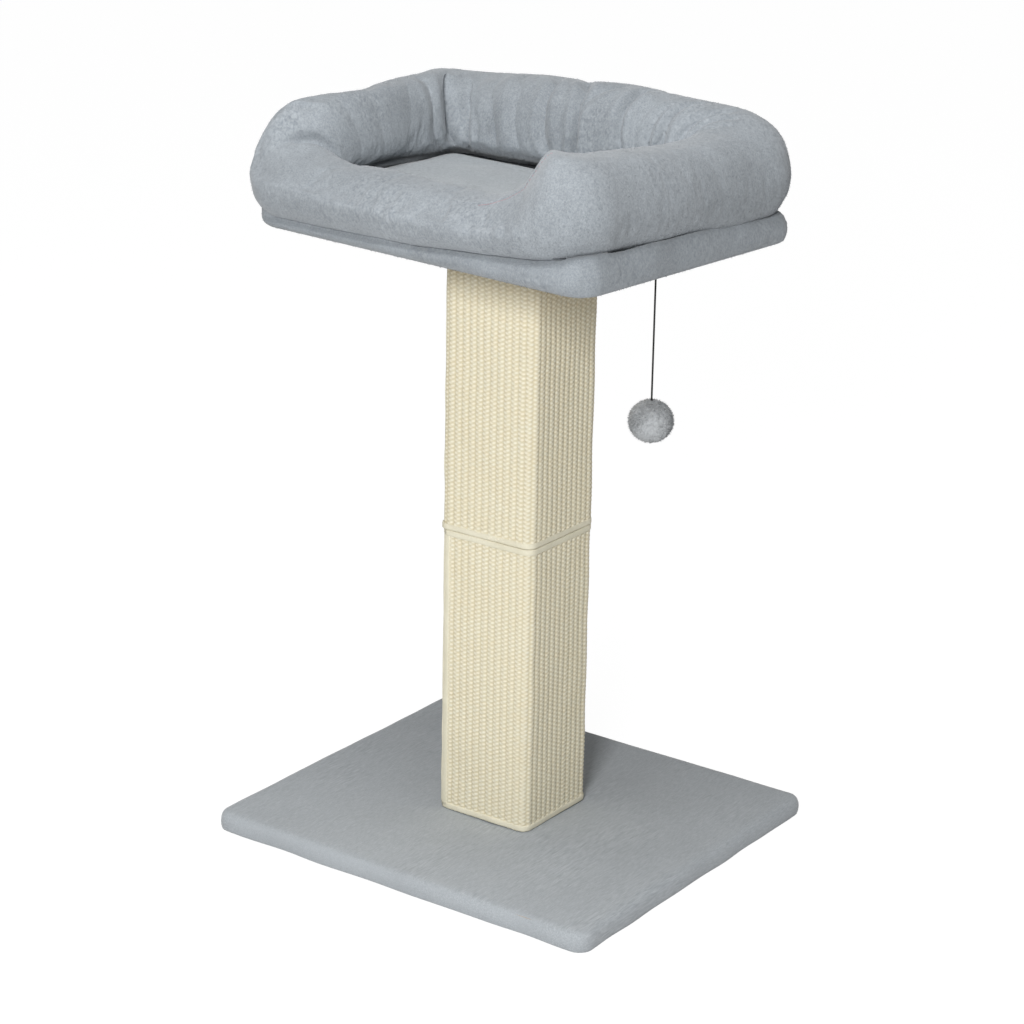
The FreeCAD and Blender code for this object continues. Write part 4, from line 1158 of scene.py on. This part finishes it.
def wall_section(width, crest, drop, tuck, bulge, overhang):
    """Control points of the section: how far out from the inner face, and how far above the wall's foot."""
    hang = np.clip((drop - REST_DROP) / HANG_EASE, 0, 1)
    lip = 1 - ease(*LIP_SPAN, crest)
    edge = width - overhang
    zero = np.zeros_like(width)
    foot = width - tuck
    out = [zero + FOOT_UNDERCUT, zero - LOW_IN, zero - BELLY_IN, zero + LEAN_OUT,
           width * ACROSS_SHARES["inner crest"], width * ACROSS_SHARES["crest"],
           width * ACROSS_SHARES["outer crest"],
           width - SHOULDER_IN + bulge * BULGE_SHARES["shoulder"], width + bulge,
           width + bulge * BULGE_SHARES["low"] - tuck * TUCK_SHARE, foot - BELLY_IN,
           (1 - hang) * (foot - UNDER_INSIDE[0]) + hang * (edge + EDGE_CLEARANCE),
           (1 - hang) * (foot - UNDER_INSIDE[1]) + hang * (edge - EDGE_INSIDE), width * ACROSS_SHARES["under"]]
    up = [UNDER_LIFT + FOOT_LIFT * (1 - lip), np.minimum(crest * UP_SHARES["low"], LOW_LIFT),
          crest * UP_SHARES["belly"], crest * UP_SHARES["shoulder"],
          crest * (UP_SHARES["crest side"] + LIP_SHARES["inner crest"] * lip),
          crest * (1 - LIP_SHARES["crest"] * lip),
          crest * (UP_SHARES["crest side"] - LIP_SHARES["outer crest"] * lip),
          crest * (UP_SHARES["shoulder"] - LIP_SHARES["shoulder"] * lip),
          crest * (UP_SHARES["belly"] - LIP_SHARES["belly"] * lip),
          crest * UP_SHARES["outer low"] - drop * DROP_SHARES["low"], -drop,
          -((1 - hang) * UNDER_DROPS[0] + hang * drop * DROP_SHARES["under"]), zero - UNDER_DROPS[1],
          zero + UNDER_LIFT]
    return np.stack(out, axis=1), np.stack(up, axis=1)


def smooth_through(controls, samples):
    """A closed smooth curve through control points, with so many samples between each two."""
    share = np.arange(samples) / samples
    before, after = np.roll(controls, 1, axis=1), np.roll(controls, -1, axis=1)
    beyond = np.roll(controls, -2, axis=1)
    curve = []
    for t in share:
        curve.append(0.5 * (2 * controls + (after - before) * t
                            + (2 * before - 5 * controls + 4 * after - beyond) * t ** 2
                            + (3 * controls - before - 3 * after + beyond) * t ** 3))
    return np.stack(curve, axis=2).reshape(len(controls), -1)


def wall_surface(per_side, samples):
    """The wall's plain surface in the platform's frame: places round the bed by points round the section."""
    place = np.arange(SIDES * per_side) / per_side
    outer = rounded_loop(*BED_PLAN, (per_side, per_side))[0] + BED_MIDDLE
    inner = rounded_loop(*INNER_PLAN, (per_side, per_side))[0] + BED_MIDDLE + INNER_SHIFT
    width = np.linalg.norm(outer - inner, axis=1)
    outward = (outer - inner) / width[:, None]
    crest = keyed(place, CREST_KEYS, CREST_SMOOTHING_SHARE)
    values = [keyed(place, keys) for keys in (DROP_KEYS, TUCK_KEYS, BULGE_KEYS)]
    out, up = wall_section(width, crest, *values, beyond_platform(outer))
    out, up = smooth_through(out, samples), smooth_through(up, samples)
    points = np.zeros(out.shape + (3,))
    points[..., :2] = inner[:, None] + outward[:, None] * out[..., None]
    points[..., 2] = WALL_LOW + up
    return points, place


PER_SIDE = (80, 320)
SECTION_SAMPLES = (3, 6)
plain_wall, wall_places = wall_surface(PER_SIDE[1], SECTION_SAMPLES[1])
print("wall grid", plain_wall.shape, "crest", round(plain_wall[..., 2].max(), 4))

# %% [markdown]
# ### Stuffing
# A swept tube is too even for a stuffed one. Blender's cloth fills it: the tube's cloth is cut a little
# too large, its foot is held where it is sewn, and air pressure pushes it out from inside until the
# spare cloth buckles. How far a point may move is capped, so the bed keeps its size.

# %% Let the wall settle
CLOTH_FRAMES = 18
CLOTH_PRESSURE = 2.5
CLOTH_SPARE_SHARE = 0.035
CLOTH_MASS = 0.12
CLOTH_STIFF = 12.0
CLOTH_SHEAR = 6.0
CLOTH_QUALITY = 5
CLOTH_BEND = 0.35
SEWN_HEIGHT = 0.012
SETTLE_CAP = 0.0035
SETTLE_KEYS = [(0.0, 1.0), (0.15, 0.6), (0.85, 0.6), (1.0, 0.3), (1.8, 0.3), (2.1, 0.8), (3.5, 1.0)]


def settled(points, sewn):
    """How far each point of a closed tube moves when its cloth is filled, with some points sewn down."""
    rows, columns, _ = points.shape
    mesh = bpy.data.meshes.new("filling")
    mesh.from_pydata(points.reshape(-1, 3).tolist(), [], grid_faces(rows, columns, True, True))
    tube = bpy.data.objects.new("filling", mesh)
    scene.collection.objects.link(tube)
    group = tube.vertex_groups.new(name="sewn")
    group.add(np.flatnonzero(sewn.ravel()).tolist(), 1.0, "REPLACE")
    cloth = tube.modifiers.new("filling", "CLOTH")
    cloth.collision_settings.use_collision = False
    cloth.settings.effector_weights.gravity = 0.0
    cloth.settings.quality = CLOTH_QUALITY
    cloth.settings.mass = CLOTH_MASS
    cloth.settings.tension_stiffness = CLOTH_STIFF
    cloth.settings.compression_stiffness = CLOTH_STIFF
    cloth.settings.shear_stiffness = CLOTH_SHEAR
    cloth.settings.bending_stiffness = CLOTH_BEND
    cloth.settings.use_pressure = True
    cloth.settings.uniform_pressure_force = CLOTH_PRESSURE
    cloth.settings.shrink_min = -CLOTH_SPARE_SHARE
    cloth.settings.vertex_group_mass = "sewn"
    cloth.point_cache.frame_end = CLOTH_FRAMES
    for number in range(1, CLOTH_FRAMES + 1):
        scene.frame_set(number)
    result = tube.evaluated_get(bpy.context.evaluated_depsgraph_get())
    moved = np.zeros(rows * columns * 3)
    result.data.vertices.foreach_get("co", moved)
    scene.frame_set(1)
    bpy.data.objects.remove(tube)
    shift = moved.reshape(rows, columns, 3) - points
    length = np.linalg.norm(shift, axis=2, keepdims=True)
    print("cloth moved up to", round(float(length.max()), 4), "mean", round(float(length.mean()), 4))
    return shift * np.minimum(1, SETTLE_CAP / np.maximum(length, TINY))


def finer(values):
    """A closed grid of values with three new ones between each two along the tube, and one across it."""
    for axis in (0, 0, 1):
        between = (values + np.roll(values, -1, axis=axis)) / 2
        shape = list(values.shape)
        shape[axis] *= 2
        values = np.stack([values, between], axis=axis + 1).reshape(shape)
    return values


def stuffed(points):
    """The fine wall moved as the filled cloth of a coarse copy moves."""
    coarse, place = wall_surface(PER_SIDE[0], SECTION_SAMPLES[0])
    sewn = coarse[..., 2] < WALL_LOW + SEWN_HEIGHT
    share = keyed(place, SETTLE_KEYS)[:, None, None]
    return points + finer(settled(coarse, sewn) * share)


# %% [markdown]
# ### Folds
# Cloth gathers where the tube turns. Two deep creases pinch a narrow fold in the back left corner, folds
# lean up the inner faces of the back and left walls and fade at the crest, and a crease marks where the
# lip meets the left wall. Each fold is a valley at a given place, sharp at its bottom, with a low ridge on
# both sides.

# %% Folds and pile
# Each fold: its place round the bed at the belly and at the crest, its half width and its depth
BACK_FOLDS = [(1.955, 1.990, 0.0035, 0.0042), (2.010, 2.055, 0.0035, 0.0065), (2.085, 2.155, 0.0035, 0.0072),
              (2.133, 2.205, 0.0045, 0.0044), (2.180, 2.250, 0.0060, 0.0024), (2.250, 2.340, 0.0035, 0.0062),
              (2.272, 2.330, 0.0040, 0.0032), (2.450, 2.520, 0.0040, 0.0084), (2.452, 2.430, 0.0040, 0.0036),
              (2.585, 2.660, 0.0040, 0.0060), (2.720, 2.760, 0.0080, 0.0030), (2.840, 2.870, 0.0080, 0.0032),
              (2.915, 2.940, 0.0060, 0.0024)]
CORNER_CREASES = [(2.960, 2.975, 0.0032, 0.0110), (3.020, 3.075, 0.0032, 0.0100),
                  (1.020, 1.020, 0.0040, 0.0060)]
LEFT_DIPS = [(3.170, 3.260, 0.0045, 0.0040), (3.380, 3.380, 0.0140, 0.0018), (3.620, 3.620, 0.0120, 0.0014),
             (3.840, 3.840, 0.0140, 0.0022)]
LIP_CREASE = (0.004, 0.0050, 0.009)
FOLDS = {"fold": BACK_FOLDS + LEFT_DIPS, "crease": CORNER_CREASES}
# Where along the section each kind of fold starts, is full, begins to fade and ends
FOLD_SPANS = {"fold": (0.2, 1.5, 4.4, 5.6), "crease": (0.0, 0.6, 3.4, 5.3), "lip": (0.5, 2.0, 4.8, 6.2)}
RIDGE_SHARES = {"fold": 0.30, "crease": 0.08}
WANDER_SHARES = {"fold": 1.0, "crease": 0.3}
RIDGE_PLACE_SHARE = 3.0
RIDGE_WIDE_SHARE = 1.6
ROLL_SHARE = 2.0
BELLY_SECTION = 2.0
CREST_SECTION = 5.0
RISE_SHARES = (-0.5, 1.0)
FOLD_WANDER = 0.003
FOLD_WAVE = 0.03
SECTION_POINTS = 14
SIDE_LENGTH = (0.350, 0.240)
PILE_CLUMP = 0.0042
PILE_WAVES = 48
PILE_HIGH = 0.00009
SOFT_LUMP = 0.045
SOFT_LUMP_HIGH = 0.0007


def across_places(place, spot, wander):
    """Distance along the tube from a fold's place, wandering a little along the section."""
    gap = (place[:, None] - spot + SIDES / 2) % SIDES - SIDES / 2
    length = SIDE_LENGTH[int(np.mean(spot)) % 2]
    return gap * length + wander


def valley(away, width):
    """A sharp valley of depth 1 at 0 that rises steeply on one side and gently on the other."""
    return np.exp(-np.abs(away) / np.where(away < 0, width, ROLL_SHARE * width))


def faded(along, kind):
    """1 where a kind of fold is full, and less towards both its ends along the section."""
    start, full, fading, end = FOLD_SPANS[kind]
    return (ease(start, full, along) * (1 - ease(fading, end, along)))[None]


def folded(points, place):
    """The wall with its folds pressed in along its normals, and its corner creases pressed in level."""
    normal = surface_normals(points)
    along = np.arange(points.shape[1]) / points.shape[1] * SECTION_POINTS
    rise = np.clip((along - BELLY_SECTION) / (CREST_SECTION - BELLY_SECTION), *RISE_SHARES)
    wander = FOLD_WANDER * ripple(points, FOLD_WAVE, SEEDS["fold"])
    push = {kind: np.zeros(points.shape[:2]) for kind in FOLDS}
    for kind, folds in FOLDS.items():
        for low_place, high_place, width, depth in folds:
            spot = low_place + (high_place - low_place) * rise
            away = across_places(place, spot[None], wander * WANDER_SHARES[kind])
            ridges = bump(np.abs(away) - RIDGE_PLACE_SHARE * width, RIDGE_WIDE_SHARE * width)
            push[kind] += depth * faded(along, kind) * (RIDGE_SHARES[kind] * ridges - valley(away, width))
    spot, width, depth = LIP_CREASE
    away = across_places(place, np.array(spot), wander * WANDER_SHARES["crease"])
    push["fold"] -= depth * bump(away, width) * faded(along, "lip")
    level = normal * np.array([1, 1, 0])
    return points + normal * push["fold"][..., None] + level * push["crease"][..., None]


def piled(points):
    """The wall with soft lumps of its stuffing and the unevenness of its pile."""
    lumps = SOFT_LUMP_HIGH * ripple(points, SOFT_LUMP, SEEDS["lump"])
    clumps = PILE_HIGH * ripple(points, PILE_CLUMP, SEEDS["clump"], PILE_WAVES)
    return points + surface_normals(points) * (lumps + clumps)[..., None]


WALL_TUFTS = 50000
TUFTS_BELOW = 0.002


def bed_wall(points):
    """The wall's skin with its coat of tufts."""
    seen = points[..., 2] > WALL_LOW - TUFTS_BELOW
    tufts = brushed_coat(points, surface_normals(points), seen, WALL_TUFTS, "wall")
    skin, faces = joined([(points, grid_faces(*points.shape[:2], True, True)), tufts])
    return make_piece("bed_wall", turned(skin), faces, BED_PLUSH, "bed", "plush")


wall_points = piled(folded(stuffed(plain_wall), wall_places))
wall = bed_wall(wall_points)
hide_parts("bolster_cover", "bolster_fill")

# %% [markdown]
# ### The entry's seam
# The tube is closed along the lip and up to the peak: the cloth's edge is rolled into a thin welt, and a
# row of stitches runs below it. The thread is a shade pinker than the plush. Both are swept along the
# wall's own surface, so that they follow its every dip.

# %% Welt and stitches along the lip
SEAM_PLACES = (0.5, 0.95)
SEAM_STEPS = 120
SEAM_KEYS = [(0.5, 6.0), (0.72, 5.85), (0.82, 5.5), (0.9, 5.2), (0.95, 5.0)]
WELT_THICK = 0.0030
WELT_SUNK = 0.0004
STITCH_PLACES = (0.72, 0.944)
STITCH_COUNT = 26
STITCH_LONG = 0.0030
STITCH_THICK = 0.0010
STITCH_BELOW_SHARE = 0.16
STITCH_AHEAD_SHARE = 0.01
WELT_START_SHARES = (0, 0.5)
WELT_END_SHARES = (0.97, 1.0)
WELT_LEAST_SHARE = 0.1
CAPSULE_SHARES = [(-1.0, 0.15), (-0.85, 0.7), (-0.4, 1.0), (0.4, 1.0), (0.85, 0.7), (1.0, 0.15)]
SWEEP_SIDES = 8


def wall_at(places, sections):
    """Points and normals of the wall at places round the bed and along its section, between grid points too."""
    row, column = places * PER_SIDE[1], sections * SECTION_SAMPLES[1]
    low_row, low_column = np.floor(row).astype(int), np.floor(column).astype(int)
    share_row, share_column = (row - low_row)[:, None], (column - low_column)[:, None]
    found = []
    for values in (wall_points, surface_normals(wall_points)):
        near, far = (values[low_row + step, low_column] * (1 - share_column)
                     + values[low_row + step, low_column + 1] * share_column for step in (0, 1))
        found.append(near * (1 - share_row) + far * share_row)
    return found


def spokes(side, other):
    """Steps of length 1 round each point of a path, between two directions across it."""
    ring = np.arange(SWEEP_SIDES) / SWEEP_SIDES * 2 * math.pi
    return np.cos(ring)[None, :, None] * side[:, None] + np.sin(ring)[None, :, None] * other[:, None]


def round_sweep(path, radii, facing):
    """A round rod along a path, with its own radius at each point, capped at its ends."""
    tangent = unit(np.gradient(path, axis=0))
    side = unit(np.cross(tangent, facing))
    rings = path[:, None] + radii[:, None, None] * spokes(side, np.cross(side, tangent))
    points = rings.reshape(-1, 3)
    faces = grid_faces(len(path), SWEEP_SIDES, loop_columns=True)
    faces.append(list(range(SWEEP_SIDES)))
    faces.append(list(range(len(points) - SWEEP_SIDES, len(points))))
    return points, faces


def lip_welt():
    """The rolled edge of cloth along the seam."""
    places = np.linspace(*SEAM_PLACES, SEAM_STEPS)
    path, facing = wall_at(places, np.interp(places, *zip(*SEAM_KEYS)))
    walked = np.linspace(0, 1, SEAM_STEPS)
    taper = ease(*WELT_START_SHARES, walked) * (1 - ease(*WELT_END_SHARES, walked))
    radii = WELT_THICK / 2 * np.maximum(taper, WELT_LEAST_SHARE)
    points, faces = round_sweep(path - facing * WELT_SUNK, radii, facing)
    return make_piece("lip_welt", turned(points), faces, BED_PLUSH, "bed", "plush")


def lip_stitches():
    """A row of small stitches just below the rolled edge."""
    long_shares, round_shares = (np.array(column) for column in zip(*CAPSULE_SHARES))
    stitches = []
    for place in np.linspace(*STITCH_PLACES, STITCH_COUNT):
        near = np.array([place, place + STITCH_AHEAD_SHARE])
        spots, facing = wall_at(near, np.interp(near, *zip(*SEAM_KEYS)) + STITCH_BELOW_SHARE)
        along = unit(spots[1] - spots[0])
        path = spots[0] + along * (STITCH_LONG / 2 * long_shares)[:, None]
        out = np.tile(facing[0], (len(path), 1))
        stitches.append(round_sweep(path, STITCH_THICK / 2 * round_shares, out))
    points, faces = joined(stitches)
    return make_piece("lip_stitches", turned(points), faces, THREAD, "bed", "plush")


lip_welt()
lip_stitches()

# %% [markdown]
# ## Cushion
# A thin cushion fills the bed's floor. Its edges are tucked under the wall's belly and its middle is
# slightly crowned, with shallow dents where a cat has lain.

# %% Cushion
CUSHION_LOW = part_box("pad_cover")[0].z
CUSHION_TALL = 0.0082
CUSHION_CROWN = 0.0016
CUSHION_DENT = 0.0005
CUSHION_WAVE = 0.035
CUSHION_TOP_SHARE = 0.6
CUSHION_COUNTS = (72, 44)
CUSHION_UNDER = 0.007
CUSHION_PLAN = (INNER_PLAN[0] + 2 * CUSHION_UNDER, INNER_PLAN[1] + 2 * CUSHION_UNDER, INNER_PLAN[2])
CUSHION_SKIN_SHARES = [(0.5, 0.03), (0.2, 0.1), (0.05, 0.28), (0.0, 0.5), (0.06, 0.72), (0.22, 0.9),
                       (0.5, 0.98), (0.9, 1.0)]


def cushion():
    """The crowned floor cushion."""
    steps = [(CUSHION_PLAN[2] * inside, CUSHION_TALL * up) for inside, up in CUSHION_SKIN_SHARES]
    points, faces = closed_form(rings_of(CUSHION_PLAN, steps, CUSHION_COUNTS), CUSHION_COUNTS, True, True)
    half = np.array(CUSHION_PLAN[:2]) / 2
    shares = np.clip(1 - (points[:, :2] / half) ** 2, 0, 1)
    upper = points[:, 2] > CUSHION_TALL * CUSHION_TOP_SHARE
    dents = CUSHION_DENT * ripple(points, CUSHION_WAVE, SEEDS["cushion"])
    points[:, 2] += upper * (CUSHION_CROWN * shares[:, 0] * shares[:, 1] + dents)
    points[:, :2] += BED_MIDDLE + INNER_SHIFT
    points[:, 2] += CUSHION_LOW
    return make_piece("bed_cushion", turned(points), faces, FLOOR_PLUSH, "bed", "plush")


bed_cushion = cushion()
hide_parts("pad_cover", "pad_fill")

# %% [markdown]
# ## Toy
# A ball of plush hangs on a thin dark cord from a wire staple under the platform. The weight pulls the
# cord straight. The ball is a slightly flattened sphere with a clumpy surface and many short tufts, so
# that its outline is fuzzy from every side.

# %% Toy cord
CORD_LOW, CORD_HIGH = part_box("toy_cord")
BALL_LOW, BALL_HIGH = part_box("toy_ball_cover")
TOY_X = (BALL_LOW.x + BALL_HIGH.x) / 2
TOY_Y = (BALL_LOW.y + BALL_HIGH.y) / 2
CORD_THICK = 0.0018
CORD_TOP = CORD_HIGH.z - CORD_THICK / 2
KNOT_WIDE = CORD_HIGH.x - CORD_LOW.x
CORD_END = CORD_LOW.z + KNOT_WIDE / 2
CORD_FINENESS = 3
CORD_POINT_SHARES = [0.0, 0.09, 0.5, 0.91, 1.0]


def toy_cord():
    """The straight cord from its loop's knot into the ball."""
    curve = bpy.data.curves.new("toy_string", "CURVE")
    curve.dimensions = "3D"
    curve.bevel_depth = CORD_THICK / 2
    curve.bevel_resolution = CORD_FINENESS
    curve.use_fill_caps = True
    spline = curve.splines.new("NURBS")
    spline.points.add(len(CORD_POINT_SHARES) - 1)
    for point, share in zip(spline.points, CORD_POINT_SHARES):
        point.co = (TOY_X, TOY_Y, CORD_TOP + (CORD_END - CORD_TOP) * share, 1)
    spline.order_u = 3
    spline.use_endpoint_u = True
    curve.materials.append(CORD)
    cord = bpy.data.objects.new("toy_string", curve)
    scene.collection.objects.link(cord)
    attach(cord, "toy")
    return cord


# %% Toy ball and knot
BALL_MIDDLE = (BALL_LOW + BALL_HIGH) / 2
BALL_RADIUS = (BALL_HIGH.z - BALL_LOW.z) / 2
BALL_FLAT_SHARE = 0.95
BALL_SKIN_SHARE = 0.99
BALL_FINENESS = 5
BALL_LUMP = 0.0004
BALL_LUMP_WIDE = 0.016
BALL_CLUMP = 0.00020
BALL_CLUMP_WIDE = 0.003
TUFT_COUNT = 4200
TUFT_LONG = 0.0026
TUFT_THICK = 0.0004
TUFT_SPREAD = 0.5
KNOT_STEPS = 60
KNOT_REACH = 3
KNOT_CORD_SHARE = 2 / 3


def ball_skin():
    """Points and faces of the ball's clumpy skin."""
    shape = bmesh.new()
    bmesh.ops.create_icosphere(shape, subdivisions=BALL_FINENESS, radius=1.0)
    points = np.array([vertex.co for vertex in shape.verts])
    faces = [[vertex.index for vertex in face.verts] for face in shape.faces]
    shape.free()
    size = BALL_RADIUS * BALL_SKIN_SHARE
    lumps = BALL_LUMP * ripple(points * size, BALL_LUMP_WIDE, SEEDS["ball lump"])
    clumps = BALL_CLUMP * ripple(points * size, BALL_CLUMP_WIDE, SEEDS["ball clump"])
    return points * (size + lumps + clumps)[:, None], faces


def ball_tufts():
    """Tufts that stand on the ball in all directions."""
    number = np.arange(TUFT_COUNT) + 0.5
    lean = np.arccos(1 - 2 * number / TUFT_COUNT)
    spin = math.pi * (1 + math.sqrt(5)) * number
    out = np.stack([np.cos(spin) * np.sin(lean), np.sin(spin) * np.sin(lean), np.cos(lean)], axis=1)
    roots = out * BALL_RADIUS * BALL_SKIN_SHARE
    return tuft_coat(roots, out, np.zeros(3), TUFT_LONG, TUFT_THICK, TUFT_SPREAD, SEEDS["ball lay"])


def toy_ball():
    """The plush ball: skin and tufts in one piece."""
    points, faces = joined([ball_skin(), ball_tufts()])
    points[:, 2] *= BALL_FLAT_SHARE
    return make_piece("toy_ball", points + np.array(BALL_MIDDLE), faces, BALL_PLUSH, "toy", "plush")


def stopper_knot():
    """An overhand knot that keeps the ball on its cord: a trefoil of the cord's own thickness."""
    turn = np.linspace(0, 2 * math.pi, KNOT_STEPS, endpoint=False)
    size = (KNOT_WIDE - CORD_THICK) / 2 / KNOT_REACH
    path = size * np.stack([np.sin(turn) + 2 * np.sin(2 * turn), np.cos(turn) - 2 * np.cos(2 * turn),
                            -np.sin(3 * turn)], axis=1)
    tangent = unit(np.roll(path, -1, axis=0) - np.roll(path, 1, axis=0))
    side = unit(np.cross(tangent, path + size * UPWARD))
    rings = path[:, None] + CORD_THICK / 2 * KNOT_CORD_SHARE * spokes(side, np.cross(tangent, side))
    points = rings + np.array([TOY_X, TOY_Y, CORD_END])
    return make_piece("toy_knot", points, grid_faces(KNOT_STEPS, SWEEP_SIDES, True, True), CORD, "toy", "cord")


string = toy_cord()
ball = toy_ball()
knot = stopper_knot()
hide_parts("toy_cord")
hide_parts("toy_ball_cover")
print("cord", round(CORD_TOP - CORD_END, 4), "m long")
